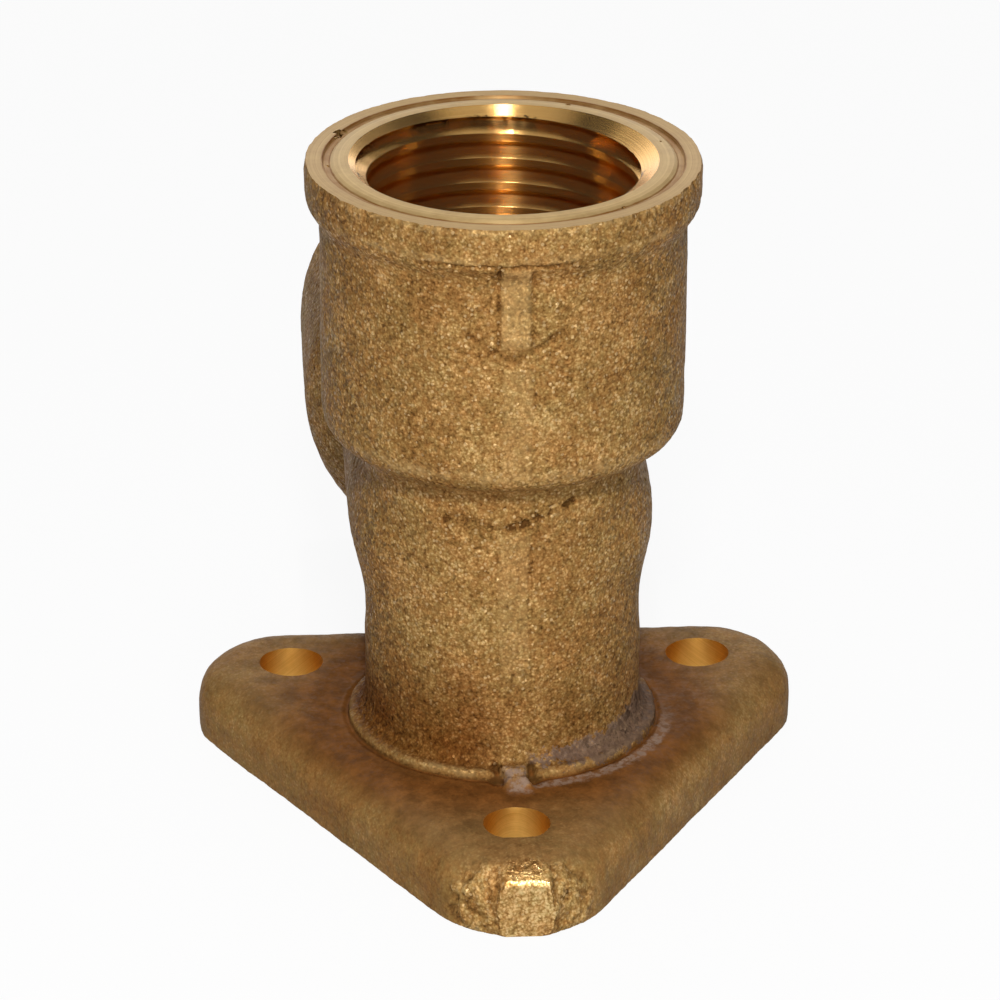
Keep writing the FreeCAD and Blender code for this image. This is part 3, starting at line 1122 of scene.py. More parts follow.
class NodeSheet:
    """Node tree of one material, with short calls for the nodes that the finishes use."""

    def __init__(self, name: str) -> None:
        """Starts a material with an empty sheet of nodes.

        Args:
            name: The material's name.
        """
        self.material = bpy.data.materials.new(name)
        self.material.use_nodes = True
        self.tree = self.material.node_tree
        self.tree.nodes.clear()

    def node(self, kind: str, **settings: object) -> Node:
        """New node on the sheet.

        Args:
            kind: Type of the node.
            **settings: Its own settings.

        Returns:
            The node.
        """
        made = self.tree.nodes.new(kind)
        for name, value in settings.items():
            setattr(made, name, value)
        return made

    def feed(self, socket: NodeSocket, value: object) -> None:
        """Links a socket, or sets it where the value is a plain one.

        Args:
            socket: Input that is fed.
            value: Output to link, or a number, vector or colour.
        """
        if isinstance(value, NodeSocket):
            self.tree.links.new(value, socket)
        elif isinstance(value, tuple) and socket.type == "RGBA":
            socket.default_value = (*value, 1.0)
        else:
            socket.default_value = value

    def calc(self, operation: str, *values: object) -> NodeSocket:
        """Result of one operation.

        Args:
            operation: Name of the operation.
            *values: Two or three values that go into it.

        Returns:
            The result.
        """
        made = self.node("ShaderNodeMath", operation=operation)
        for socket, value in zip(made.inputs, values):
            self.feed(socket, value)
        return made.outputs[0]

    def times(self, *values: object) -> NodeSocket:
        """Product of values."""
        return reduce(partial(self.calc, "MULTIPLY"), values)

    def most(self, *values: object) -> NodeSocket:
        """Largest of values."""
        return reduce(partial(self.calc, "MAXIMUM"), values)

    def plus(self, first: object, second: object) -> NodeSocket:
        """Sum of two values."""
        return self.calc("ADD", first, second)

    def minus(self, first: object, second: object) -> NodeSocket:
        """Difference of two values."""
        return self.calc("SUBTRACT", first, second)

    def line(self, value: object, slope: object, start: object) -> NodeSocket:
        """Value on a straight line, from its slope and start."""
        return self.calc("MULTIPLY_ADD", value, slope, start)

    def size(self, value: object) -> NodeSocket:
        """Value without its sign."""
        return self.calc("ABSOLUTE", value)

    def reach(self, first: NodeSocket, second: NodeSocket) -> NodeSocket:
        """Distance from an axis, from the two coordinates across it."""
        return self.calc("SQRT", self.line(first, first, self.times(second, second)))

    def vector_calc(self, operation: str, first: object, second: object = None, scale: object = None) -> NodeSocket:
        """Vector that one operation gives.

        Args:
            operation: Name of the operation.
            first: Vector that goes into it.
            second: Second vector, where it has one.
            scale: Factor, where it has one.

        Returns:
            The vector.
        """
        made = self.node("ShaderNodeVectorMath", operation=operation)
        for key, value in ((0, first), (1, second), ("Scale", scale)):
            if value is not None:
                self.feed(made.inputs[key], value)
        return made.outputs[0]

    def millimetres(self) -> NodeSocket:
        """Place on the piece, in millimetres."""
        place = self.node("ShaderNodeTexCoord").outputs["Object"]
        return self.vector_calc("SCALE", place, scale=1 / MM)

    def parts(self, vector: NodeSocket) -> tuple[NodeSocket, NodeSocket, NodeSocket]:
        """The three coordinates of a vector.

        Args:
            vector: Vector that is split.

        Returns:
            Its coordinates.
        """
        split = self.node("ShaderNodeSeparateXYZ")
        self.feed(split.inputs[0], vector)
        return split.outputs[0], split.outputs[1], split.outputs[2]

    def joined(self, *coordinates: object) -> NodeSocket:
        """Vector of three coordinates.

        Args:
            *coordinates: The three values.

        Returns:
            The vector.
        """
        made = self.node("ShaderNodeCombineXYZ")
        for socket, value in zip(made.inputs, coordinates):
            self.feed(socket, value)
        return made.outputs[0]

    def noise(self, vector: NodeSocket, size: float, detail: float = 2.0, roughness: float = 0.5) -> NodeSocket:
        """Soft noise.

        Args:
            vector: Place where it is read.
            size: Size of its spots, in the place's own unit.
            detail: Finer layers on it.
            roughness: Strength of those layers.

        Returns:
            A value about 0.5.
        """
        made = self.node("ShaderNodeTexNoise")
        for name, value in (("Vector", vector), ("Scale", 1 / size), ("Detail", detail), ("Roughness", roughness)):
            self.feed(made.inputs[name], value)
        return made.outputs["Fac"]

    def cells(self, vector: NodeSocket, size: float) -> tuple[NodeSocket, NodeSocket]:
        """Cells of about one size.

        Args:
            vector: Place where they are read.
            size: Size of a cell, in the place's own unit.

        Returns:
            Distance from the cell's middle, and a random colour for each cell.
        """
        made = self.node("ShaderNodeTexVoronoi")
        self.feed(made.inputs["Vector"], vector)
        self.feed(made.inputs["Scale"], 1 / size)
        return made.outputs["Distance"], made.outputs["Color"]

    def about_half(self, *layers: tuple[NodeSocket, float]) -> NodeSocket:
        """Layers of noise over each other.

        Args:
            *layers: Each layer with its weight.

        Returns:
            Their sum, whose mean stays at a half.
        """
        total: object = 0.5 - 0.5 * sum(weight for _, weight in layers)
        for layer, weight in layers:
            total = self.line(layer, weight, total)
        return total

    def tilted(self, normal: NodeSocket, facets: NodeSocket, tilt: object) -> NodeSocket:
        """Normal that leans its own way on each facet.

        Args:
            normal: Normal before it leans.
            facets: Random colour of each facet.
            tilt: How far it leans.

        Returns:
            The leaning normal.
        """
        lean = self.vector_calc("SUBTRACT", facets, (0.5, 0.5, 0.5))
        lean = self.vector_calc("SCALE", lean, scale=tilt)
        return self.vector_calc("NORMALIZE", self.vector_calc("ADD", normal, lean))

    def fade(self, value: object, low: float, high: float, at_low: float = 0.0, at_high: float = 1.0) -> NodeSocket:
        """Smooth change from one number to another.

        Args:
            value: What it follows.
            low: Value at which it starts, which may be the higher one.
            high: Value at which it ends.
            at_low: Number at the start.
            at_high: Number at the end.

        Returns:
            The changing number.
        """
        made = self.node("ShaderNodeMapRange", interpolation_type="SMOOTHSTEP")
        self.feed(made.inputs["Value"], value)
        for name, number in (("From Min", low), ("From Max", high), ("To Min", at_low), ("To Max", at_high)):
            self.feed(made.inputs[name], number)
        return made.outputs[0]

    def window(self, value: object, opens: Span, shuts: Span) -> NodeSocket:
        """1 between two fades of one value, and 0 outside them."""
        return self.times(self.fade(value, *opens), self.fade(value, *shuts))

    def ramp(self, value: object, *stops: tuple[float, Colour]) -> NodeSocket:
        """Colour that changes along a value.

        Args:
            value: What it follows.
            *stops: Values with their colours.

        Returns:
            The colour.
        """
        made = self.node("ShaderNodeValToRGB")
        elements = made.color_ramp.elements
        for place, _ in stops[2:]:
            elements.new(place)
        for element, (place, colour) in zip(elements, stops):
            element.position = place
            element.color = (*colour, 1.0)
        self.feed(made.inputs[0], value)
        return made.outputs[0]

    def mix(self, share: object, first: object, second: object, blend: str = "MIX") -> NodeSocket:
        """Mix of two colours.

        Args:
            share: Share of the second colour.
            first: Colour below.
            second: Colour laid over it.
            blend: How it is laid over.

        Returns:
            The mixed colour.
        """
        made = self.node("ShaderNodeMix", data_type="RGBA", blend_type=blend)
        for key, value in ((0, share), (6, first), (7, second)):
            self.feed(made.inputs[key], value)
        return made.outputs[2]

    def bump(self, height: NodeSocket, depth: float) -> NodeSocket:
        """Normal of a fine relief.

        Args:
            height: The relief, from 0 to 1.
            depth: Its depth in millimetres.

        Returns:
            The normal.
        """
        made = self.node("ShaderNodeBump")
        self.feed(made.inputs["Distance"], depth * MM)
        self.feed(made.inputs["Height"], height)
        return made.outputs[0]

    def brass(self, colour: object, roughness: object, metallic: object, normal: NodeSocket,
              grain: float = 0.0, along: NodeSocket | None = None) -> Material:
        """Ends the sheet in a metal surface.

        Args:
            colour: Base colour.
            roughness: Roughness of the gloss.
            metallic: Share of bare metal.
            normal: Relief of the surface.
            grain: How much longer than wide a tool's marks make the gloss.
            along: Direction in which they do.

        Returns:
            The material.
        """
        surface = self.node("ShaderNodeBsdfPrincipled")
        inputs = {"Base Color": colour, "Roughness": roughness, "Metallic": metallic, "Normal": normal}
        inputs["Specular IOR Level"] = DULL_GLOSS
        if along is not None:
            inputs |= {"Anisotropic": grain, "Tangent": along}
        for name, value in inputs.items():
            self.feed(surface.inputs[name], value)
        out = self.node("ShaderNodeOutputMaterial")
        self.feed(out.inputs["Surface"], surface.outputs[0])
        return self.material


@dataclass(frozen=True)
class FluxSmear:
    """Flux residue round the right of the foot: a thin film, with a pale crust along its edges.

    Turns are radians from the front, to the right. Other sizes are millimetres.
    """

    fray_size: float = 0.8
    fray_rise: float = 1.7
    span_start: Span = (0.09, 0.2)
    span_end: Span = (1.95, 1.7)
    top_turns: Span = (0.1, 1.75)
    top_heights: Span = (6.3, 7.9)
    foot_turns: Span = (0.15, 0.75)
    foot_heights: Span = (5.8, 5.15)
    wall_inner: Span = (8.6, 9.0)
    wall_outer: Span = (11.4, 11.0)
    line_inner: Span = (11.2, 11.4)
    line_outer: Span = (12.3, 11.9)
    line_start: Span = (0.05, 0.16)
    line_end: Span = (1.8, 1.1)
    web_middle: float = 0.3
    web_reach: float = 10.9
    web_lean: float = -0.15
    web_sides: Span = (1.0, 0.6)
    web_front: Span = (-9.0, -9.6)
    web_inner: Span = (10.4, 10.8)
    web_outer: Span = (13.2, 12.4)
    flat_top: Span = (6.6, 6.2)

    def on_wall(self, sheet: NodeSheet, turn: NodeSocket, reach: NodeSocket,
                height: NodeSocket) -> tuple[NodeSocket, NodeSocket]:
        """Film on the column's wall, with the crust at its upper edge.

        Args:
            sheet: Sheet that the nodes go on.
            turn: Angle round the column.
            reach: Distance from the column's axis.
            height: Frayed height.

        Returns:
            Strength of the film and of the crust.
        """
        inside = sheet.minus(sheet.fade(turn, *self.top_turns, *self.top_heights), height)
        foot = sheet.fade(turn, *self.foot_turns, *self.foot_heights)
        span = sheet.times(
            sheet.window(turn, self.span_start, self.span_end),
            sheet.fade(sheet.minus(height, foot), -0.15, 0.15),
            sheet.window(reach, self.wall_inner, self.wall_outer),
        )
        film = sheet.times(span, sheet.fade(inside, -0.1, 0.25))
        crust = sheet.times(span, sheet.window(inside, (-0.15, 0.05), (0.5, 0.15)))
        return film, sheet.times(crust, sheet.fade(turn, 1.0, 1.5, 0.6, 1.0))

    def on_plate(self, sheet: NodeSheet, place: NodeSocket, turn: NodeSocket, reach: NodeSocket,
                 fray: NodeSocket) -> NodeSocket:
        """Crust on the plate: a thin line round the foot, and the web.

        Args:
            sheet: Sheet that the nodes go on.
            place: Place on the piece, in millimetres.
            turn: Angle round the column.
            reach: Distance from the column's axis.
            fray: Noise that frays the edges.

        Returns:
            Strength of the crust.
        """
        x, y, z = sheet.parts(place)
        away = sheet.line(fray, 0.6, reach)
        line = sheet.times(
            sheet.window(away, self.line_inner, self.line_outer),
            sheet.window(turn, self.line_start, self.line_end),
        )
        lean = sheet.line(sheet.minus(reach, self.web_reach), self.web_lean, sheet.minus(x, self.web_middle))
        lean = sheet.size(sheet.line(fray, 0.45, lean))
        web = sheet.times(
            sheet.fade(lean, *self.web_sides),
            sheet.fade(y, *self.web_front),
            sheet.window(away, self.web_inner, self.web_outer),
        )
        return sheet.times(sheet.most(line, web), sheet.fade(z, *self.flat_top))

    def laid(self, sheet: NodeSheet, place: NodeSocket) -> tuple[NodeSocket, NodeSocket]:
        """The whole residue.

        Args:
            sheet: Sheet that the nodes go on.
            place: Place on the piece, in millimetres.

        Returns:
            Strength of the film and of the crust.
        """
        x, y, z = sheet.parts(place)
        reach = sheet.reach(x, y)
        turn = sheet.calc("ARCTAN2", x, sheet.times(y, -1.0))
        fray = sheet.line(sheet.noise(place, self.fray_size, 4.0, 0.75), 2.0, -1.0)
        film, edge = self.on_wall(sheet, turn, reach, sheet.line(fray, self.fray_rise, z))
        flat = self.on_plate(sheet, place, turn, reach, fray)
        patchy = sheet.fade(sheet.noise(place, 0.5, 3.0, 0.7), 0.38, 0.60, 0.2, 0.95)
        return film, sheet.times(sheet.most(edge, flat), patchy)


@dataclass(frozen=True)
class CastSkinFinish:
    """Sand-cast brass skin: dull golden grains, brown pits, sparkling facets and painted sparkle, patina, flux
    residue, painted shade, and worn edges with painted highlight.
    """

    name: str = "cast_brass_skin"
    pit: Colour = (0.12, 0.054, 0.014)
    brown: Colour = (0.30, 0.150, 0.043)
    gold: Colour = (0.42, 0.230, 0.073)
    bright: Colour = (0.66, 0.41, 0.165)
    # Pale glint colour of the painted sparkle.
    painted_sparkle: Colour = (0.84, 0.58, 0.28)
    warm: Colour = (1.06, 0.97, 0.90)
    cool: Colour = (0.95, 1.01, 0.97)
    patina: Colour = (0.195, 0.071, 0.015)
    old_gold: Colour = (0.190, 0.106, 0.039)
    # Tint of the foot's darkening: partly a stain, partly painted shade.
    stain_and_shade_tint: Colour = (0.50, 0.36, 0.24)
    film: Colour = (0.150, 0.098, 0.072)
    crust: Colour = (0.330, 0.220, 0.155)
    # Paler colour of worn edges: partly bare brass, partly painted highlight.
    worn_highlight: Colour = (0.56, 0.36, 0.14)
    # Rings of radius, height and width whose edges are painted paler.
    edges: tuple[tuple[float, float, float], ...] = (
        (13.5, 46.6, 0.4), (13.5, 44.5, 0.45), (12.5, 28.5, 0.8), (10.8, 5.45, 0.5),
    )
    smear: FluxSmear = FluxSmear()
    grain: float = 0.16
    coarse_size: float = 2.6
    blotch_size: float = 2.6
    broad_size: float = 9.0
    bead_size: float = 1.45
    painted_sparkle_size: float = 1.35
    facet_size: float = 1.5
    # Painted shade for each unit of crevice depth.
    painted_crevice_shade: float = -0.26
    gate_light: float = 0.08
    painted_sparkle_share: float = 0.6
    worn_highlight_share: float = 0.7
    film_share: float = 0.8
    tilt: float = 0.62
    relief: float = 0.05
    metallic: float = 0.16
    burnished: float | None = None
    above_plate: Span = (5.1, 5.9)
    at_gate: Span = (-21.4, -22.6)
    calm_top: Span = (5.6, 4.6)
    calm_front: Span = (-22.6, -21.0)
    patina_top: Span = (6.0, 4.9)
    patina_front: Span = (-22.9, -21.6)
    patina_edge: Span = (21.5, 13.0)
    old_gold_edge: Span = (12.5, 19.5)
    # Where the foot's stain and painted shade reach.
    stain_and_shade_top: Span = (15.5, 6.6)
    stain_and_shade_foot: Span = (5.2, 5.8)
    stain_and_shade_wall: Span = (10.9, 10.5)

    def grains(self, sheet: NodeSheet, place: NodeSocket, crevice: NodeSocket) -> tuple[NodeSocket, NodeSocket]:
        """Tone and colour of the sand's grains, calmer on the plate, with painted shade in the marks' recesses and
        the painted sparkle colour on the brightest grains.

        Args:
            sheet: Sheet that the nodes go on.
            place: Place on the piece, in millimetres.
            crevice: How deep the place lies in a mark, which darkens it as painted shade.

        Returns:
            The tone, about a half, and the colour.
        """
        _, y, z = sheet.parts(place)
        grit = sheet.noise(place, self.grain, 1.5, 0.6)
        coarse = sheet.noise(place, self.grain * self.coarse_size, 2.0, 0.55)
        blotch = sheet.noise(place, self.blotch_size, 3.0, 0.6)
        broad = sheet.noise(place, self.broad_size)
        calm = sheet.times(sheet.fade(z, *self.calm_top), sheet.fade(y, *self.calm_front))
        distance, chance = sheet.cells(place, self.grain * self.bead_size)
        luck = sheet.line(sheet.parts(chance)[0], 1.1, 0.25)
        bead = sheet.times(sheet.minus(0.44, distance), luck)
        fine = sheet.line(bead, 0.42, sheet.about_half((grit, 0.6), (coarse, 0.5)))
        fine = sheet.line(sheet.minus(fine, 0.5), sheet.line(calm, -0.5, 1.0), 0.5)
        tone = sheet.about_half((fine, 1.0), (blotch, 0.35), (broad, 0.25))
        # Painted shade: the creases, pits and grooves of the marks are darkened by their depth.
        tone = sheet.line(crevice, self.painted_crevice_shade, tone)
        tone = sheet.plus(tone, sheet.fade(y, *self.at_gate, 0.0, self.gate_light))
        # The brightest grain tones take the painted sparkle colour.
        colour = sheet.ramp(tone, (0.14, self.pit), (0.36, self.brown), (0.53, self.gold), (0.70, self.bright),
                            (0.88, self.painted_sparkle))
        drift = sheet.about_half((sheet.noise(place, 4.0), 0.8), (sheet.noise(place, 0.5, 1.0), 0.7))
        tint = sheet.ramp(drift, (0.32, self.warm), (0.68, self.cool))
        return tone, sheet.mix(1.0, colour, tint, "MULTIPLY")

    def plate_stain(self, sheet: NodeSheet, place: NodeSocket, colour: NodeSocket) -> NodeSocket:
        """Lays the plate's brown patina over a colour.

        Args:
            sheet: Sheet that the nodes go on.
            place: Place on the piece, in millimetres.
            colour: Colour below.

        Returns:
            The stained colour.
        """
        x, y, z = sheet.parts(place)
        reach = sheet.reach(x, y)
        facing_up = sheet.parts(sheet.node("ShaderNodeNewGeometry").outputs["Normal"])[2]
        lying = sheet.times(
            sheet.fade(facing_up, 0.35, 0.95, 0.16, 1.0),
            sheet.fade(z, *self.patina_top),
            sheet.fade(y, *self.patina_front),
        )
        wander = sheet.line(sheet.noise(place, 5.0, 3.0, 0.55), 9.0, -4.5)
        inward = sheet.fade(sheet.plus(reach, wander), *self.patina_edge, 0.6, 0.95)
        old = sheet.mix(sheet.fade(reach, *self.old_gold_edge), self.patina, self.old_gold)
        cloud = sheet.fade(sheet.noise(place, 1.3, 4.0, 0.6), 0.3, 0.7, 0.72, 1.3)
        old = sheet.mix(1.0, old, sheet.joined(cloud, cloud, cloud), "MULTIPLY")
        return sheet.mix(sheet.times(lying, inward), colour, old)

    def foot_stain_and_shade(self, sheet: NodeSheet, place: NodeSocket, colour: NodeSocket) -> NodeSocket:
        """Darkens a colour at the column's foot, less in front and on the right: partly a brown stain, partly
        painted shade where the plate shuts out the light and on the less lit left.

        Args:
            sheet: Sheet that the nodes go on.
            place: Place on the piece, in millimetres.
            colour: Colour below.

        Returns:
            The darkened colour.
        """
        x, y, z = sheet.parts(place)
        rise = sheet.line(sheet.noise(place, 1.5, 4.0, 0.65), 5.0, sheet.minus(z, 2.5))
        front = sheet.fade(sheet.size(sheet.minus(x, 0.4)), 0.8, 3.6, 0.5, 1.0)
        # Stronger on the less lit left, which is painted shade.
        share = sheet.times(
            sheet.fade(rise, *self.stain_and_shade_top),
            sheet.fade(sheet.reach(x, y), *self.stain_and_shade_wall),
            sheet.most(front, sheet.fade(y, 0.0, 2.0)),
            sheet.fade(z, *self.stain_and_shade_foot),
            sheet.fade(x, -4.0, 9.0, 1.0, 0.45),
        )
        return sheet.mix(share, colour, sheet.mix(1.0, colour, self.stain_and_shade_tint, "MULTIPLY"))

    def rub_and_highlight(self, sheet: NodeSheet, place: NodeSocket) -> NodeSocket:
        """How far the edges of the collar, the shoulder and the foot are worn bright: partly wear, partly painted
        highlight.

        Args:
            sheet: Sheet that the nodes go on.
            place: Place on the piece, in millimetres.

        Returns:
            The share of bare metal and of the paler painted colour.
        """
        x, y, z = sheet.parts(place)
        reach = sheet.reach(x, y)
        share: object = 0.0
        for radius, height, width in self.edges:
            away = sheet.reach(sheet.minus(reach, radius), sheet.minus(z, height))
            share = sheet.most(share, sheet.fade(away, width, 0.1))
        patchy = sheet.fade(sheet.noise(place, 1.1, 4.0, 0.65), 0.40, 0.66, 0.05, 0.9)
        # Painted highlight: the paling is strongest in front, where the lamps fall.
        share = sheet.times(share, patchy, sheet.fade(y, -10.0, -4.0, 1.0, 0.3))
        # Raised marks, such as the parting stripe, are painted paler too: partly wear, partly painted highlight.
        proud = sheet.node("ShaderNodeAttribute", attribute_name="proud").outputs["Fac"]
        return sheet.most(share, sheet.times(proud, sheet.fade(z, 5.9, 6.7, 0.0, 0.55)))

    def material(self) -> Material:
        """The finish as a material.

        Returns:
            The material.
        """
        sheet = NodeSheet(self.name)
        place = sheet.millimetres()
        _, y, z = sheet.parts(place)
        crevice = sheet.node("ShaderNodeAttribute", attribute_name="crevice").outputs["Fac"]
        tone, colour = self.grains(sheet, place, crevice)
        rugged = sheet.most(sheet.fade(z, *self.above_plate), sheet.fade(y, *self.at_gate))
        # Painted sparkle: scattered grains are painted a pale glint colour, and get more metal and less roughness.
        distance, chance = sheet.cells(place, self.grain * self.painted_sparkle_size)
        painted_sparkle = sheet.times(sheet.fade(sheet.parts(chance)[0], 0.86, 1.0), sheet.fade(distance, 0.7, 0.4), rugged)
        colour = sheet.mix(sheet.times(painted_sparkle, self.painted_sparkle_share), colour, self.painted_sparkle)
        # The plate's patina, then the foot's darkening, partly stain and partly painted shade.
        colour = self.foot_stain_and_shade(sheet, place, self.plate_stain(sheet, place, colour))
        # Worn edges get bare metal and a paler colour: partly wear, partly painted highlight.
        bare = sheet.times(self.rub_and_highlight(sheet, place), self.worn_highlight_share)
        colour = sheet.mix(bare, colour, self.worn_highlight)
        film, crust = self.smear.laid(sheet, place)
        colour = sheet.mix(sheet.times(film, self.film_share), colour, self.film)
        colour = sheet.mix(crust, colour, self.crust)
        clear = sheet.fade(sheet.most(film, crust), 0.5, 0.2)
        rough = sheet.line(painted_sparkle, -0.25, sheet.fade(tone, 0.2, 0.8, 0.62, 0.48))
        metal = sheet.times(clear, sheet.most(sheet.line(painted_sparkle, 0.15, self.metallic), bare))
        tilt: object = sheet.times(sheet.line(rugged, 0.65, 0.35), self.tilt)
        if self.burnished is not None:
            rolled = sheet.fade(z, self.burnished, self.burnished + 0.35)
            metal = sheet.most(metal, sheet.times(rolled, 0.9))
            rough = sheet.line(rolled, -0.2, rough)
            tilt = sheet.times(tilt, sheet.line(rolled, -0.6, 1.0))
        facets = sheet.cells(place, self.grain * self.facet_size)[1]
        relief = sheet.bump(sheet.times(tone, sheet.line(rugged, 0.75, 0.25)), self.relief)
        return sheet.brass(colour, rough, metal, sheet.tilted(relief, facets, tilt))


class Axis(Enum):
    """Axes that the tools turned about."""

    TAP = "z"
    TUBE = "y"


@dataclass(frozen=True)
class TurnedFinish:
    """Brass cut on a lathe: bright, with fine rings round the tool's axis."""

    name: str = "turned_brass"
    dark: Colour = (0.47, 0.30, 0.115)
    light: Colour = (0.76, 0.55, 0.26)
    tarnish: Colour = (0.27, 0.118, 0.030)
    roughness: float = 0.29
    ring: float = 0.09
    depth: float = 0.006
    cloud: float = 0.3
    streak: float = 0.97
    metallic: float = 1.0
    axis: Axis = Axis.TAP
    along: bool = False
    scored: Span | None = None
    frayed: float | None = None
    chip_size: float = 0.55
    chip_height: float = 0.9

    def fraying(self, sheet: NodeSheet, place: NodeSocket, height: NodeSocket, colour: NodeSocket) -> NodeSocket:
        """Lays dark chips where the thread's start frays the chamfer's lower edge.

        Args:
            sheet: Sheet that the nodes go on.
            place: Place on the piece, in millimetres.
            height: Height along the tool's axis.
            colour: Colour below.

        Returns:
            The chipped colour.
        """
        chip = sheet.noise(place, self.chip_size, 3.0, 0.7)
        torn = sheet.line(chip, self.chip_height, sheet.minus(height, self.chip_height / 2))
        upper, lower = (self.frayed + 0.06, self.frayed), (self.frayed - 0.4, self.frayed - 0.3)
        worn = sheet.fade(sheet.noise(place, 3.2), 0.46, 0.56)
        return sheet.mix(sheet.times(sheet.window(torn, upper, lower), worn, 0.85), colour, self.tarnish)

    def scoring(self, sheet: NodeSheet, place: NodeSocket, reach: NodeSocket, colour: NodeSocket) -> NodeSocket:
        """Lays tarnish in the ring that the tool scored, and dulls the face outside it.

        Args:
            sheet: Sheet that the nodes go on.
            place: Place on the piece, in millimetres.
            reach: Distance from the tool's axis.
            colour: Colour below.

        Returns:
            The tarnished colour.
        """
        inner, outer = self.scored
        away = sheet.plus(reach, sheet.line(sheet.noise(place, 1.8, 3.0, 0.6), 0.16, -0.08))
        ring = sheet.window(away, (inner + 0.2, inner + 0.4), (outer + 0.05, outer - 0.1))
        outer_edge = sheet.fade(sheet.size(sheet.minus(away, outer)), 0.12, 0.02)
        inner_edge = sheet.fade(sheet.size(sheet.minus(away, inner + 0.3)), 0.1, 0.02)
        worn = sheet.fade(sheet.noise(place, 2.2, 3.0, 0.6), 0.3, 0.65, 0.55, 1.0)
        dirt = sheet.times(worn, sheet.most(outer_edge, inner_edge, sheet.times(ring, 0.85)))
        outside = sheet.fade(reach, outer, outer + 0.1, 0.0, 0.2)
        return sheet.mix(sheet.most(outside, dirt), colour, self.tarnish)

    def material(self) -> Material:
        """The finish as a material.

        Returns:
            The material.
        """
        sheet = NodeSheet(self.name)
        place = sheet.millimetres()
        x, y, z = sheet.parts(place)
        if self.axis is Axis.TAP:
            reach, depth, across, down = sheet.reach(x, y), z, (x, y, 0.0), (0.0, 0.0, 1.0)
        else:
            height = sheet.minus(z, TUBE_AXIS_HEIGHT)
            reach, depth, across, down = sheet.reach(x, height), y, (x, 0.0, height), (0.0, 1.0, 0.0)
        step = sheet.plus(depth, reach) if self.along else reach
        row = sheet.joined(sheet.calc("DIVIDE", step, self.ring), sheet.times(sheet.noise(place, 6.0), 1.2), 0.0)
        rings = sheet.noise(row, 1.0, 2.0, 0.6)
        blotch = sheet.noise(place, 1.6, 4.0, 0.65)
        tone = sheet.about_half((rings, 0.7), (blotch, 2 * self.cloud))
        colour = sheet.ramp(tone, (0.25, self.dark), (0.72, self.light))
        if self.scored is not None:
            colour = self.scoring(sheet, place, reach, colour)
        if self.frayed is not None:
            colour = self.fraying(sheet, place, depth, colour)
        smoother, rougher = self.roughness - 0.1 * self.cloud, self.roughness + 0.2 * self.cloud
        rough = sheet.fade(blotch, 0.3, 0.75, smoother, rougher)
        marks = sheet.joined(*(down if self.along else across))
        return sheet.brass(colour, rough, self.metallic, sheet.bump(rings, self.depth), self.streak, marks)


@dataclass(frozen=True)
class LinishedFinish:
    """Brass ground flat on a belt, with straight scratches and duller low spots."""

    name: str = "linished_brass"
    dark: Colour = (0.30, 0.18, 0.07)
    light: Colour = (0.60, 0.42, 0.20)
    width: float = 0.08
    length: float = 9.0
    depth: float = 0.012

    def material(self) -> Material:
        """The finish as a material.

        Returns:
            The material.
        """
        sheet = NodeSheet(self.name)
        place = sheet.millimetres()
        stretched = sheet.vector_calc("MULTIPLY", place, (1 / self.length, 1 / self.width, 1.0))
        scratch = sheet.noise(stretched, 1.0, 3.0, 0.6)
        low = sheet.noise(place, 5.0, 3.0, 0.6)
        tone = sheet.about_half((scratch, 0.9), (low, 0.7))
        colour = sheet.ramp(tone, (0.25, self.dark), (0.72, self.light))
        rough = sheet.fade(low, 0.3, 0.7, 0.42, 0.30)
        return sheet.brass(colour, rough, 1.0, sheet.bump(scratch, self.depth))


def elbow_finishes() -> dict[Surface, Material]:
    """Finishes of the casting.

    Returns:
        Material of each surface.
    """
    finishes = {
        Surface.CAST_SKIN: CastSkinFinish(),
        Surface.CORED: CastSkinFinish(name="cored_brass", brown=(0.17, 0.084, 0.024), gold=(0.29, 0.155, 0.048)),
        Surface.MOUTH_FACE: TurnedFinish(
            name="faced_mouth_brass", dark=(0.42, 0.262, 0.100), light=(0.65, 0.458, 0.212),
            roughness=0.40, streak=0.6, metallic=0.24, scored=SCORED_RING,
        ),
        Surface.TAPPED: TurnedFinish(
            name="tapped_brass", dark=(0.66, 0.345, 0.095), light=(0.86, 0.53, 0.180), tarnish=(0.07, 0.03, 0.008),
            roughness=0.23, metallic=0.94, cloud=0.04, along=True, frayed=46.05,
        ),
        Surface.TUBE_FACE: TurnedFinish(name="faced_tube_brass", axis=Axis.TUBE),
        Surface.BORED: TurnedFinish(
            name="bored_brass", dark=(0.46, 0.29, 0.11), light=(0.68, 0.47, 0.22),
            cloud=0.1, axis=Axis.TUBE, along=True,
        ),
        Surface.DRILLED: TurnedFinish(
            name="drilled_brass", dark=(0.60, 0.335, 0.075), light=(0.84, 0.53, 0.15),
            roughness=0.42, streak=0.4, along=True,
        ),
        Surface.GROUND: CastSkinFinish(
            name="ground_brass", brown=(0.30, 0.165, 0.053), gold=(0.47, 0.275, 0.095), bright=(0.74, 0.50, 0.23),
            tilt=0.32, burnished=3.6,
        ),
        Surface.LINISHED: LinishedFinish(),
    }
    return {surface: finish.material() for surface, finish in finishes.items()}


@dataclass(frozen=True)
class Lamp:
    """Soft square lamp that faces the elbow: degrees round to the right and up, metres, watts."""

    name: str
    azimuth: float
    elevation: float
    distance: float
    size: float
    power: float
    aim_height: float = 0.02

    def hang(self) -> None:
        """Puts the lamp in its place."""
        light = bpy.data.lights.new(self.name, "AREA")
        light.shape = "SQUARE"
        light.size = self.size
        light.energy = self.power
        made = bpy.data.objects.new(self.name, light)
        across, rise = math.radians(self.azimuth), math.radians(self.elevation)
        away = Vector((math.sin(across) * math.cos(rise), -math.cos(across) * math.cos(rise), math.sin(rise)))
        made.location = away * self.distance + UP * self.aim_height
        made.rotation_euler = (-away).to_track_quat("-Z", "Y").to_euler()
        made.visible_camera = False
        bpy.context.scene.collection.objects.link(made)


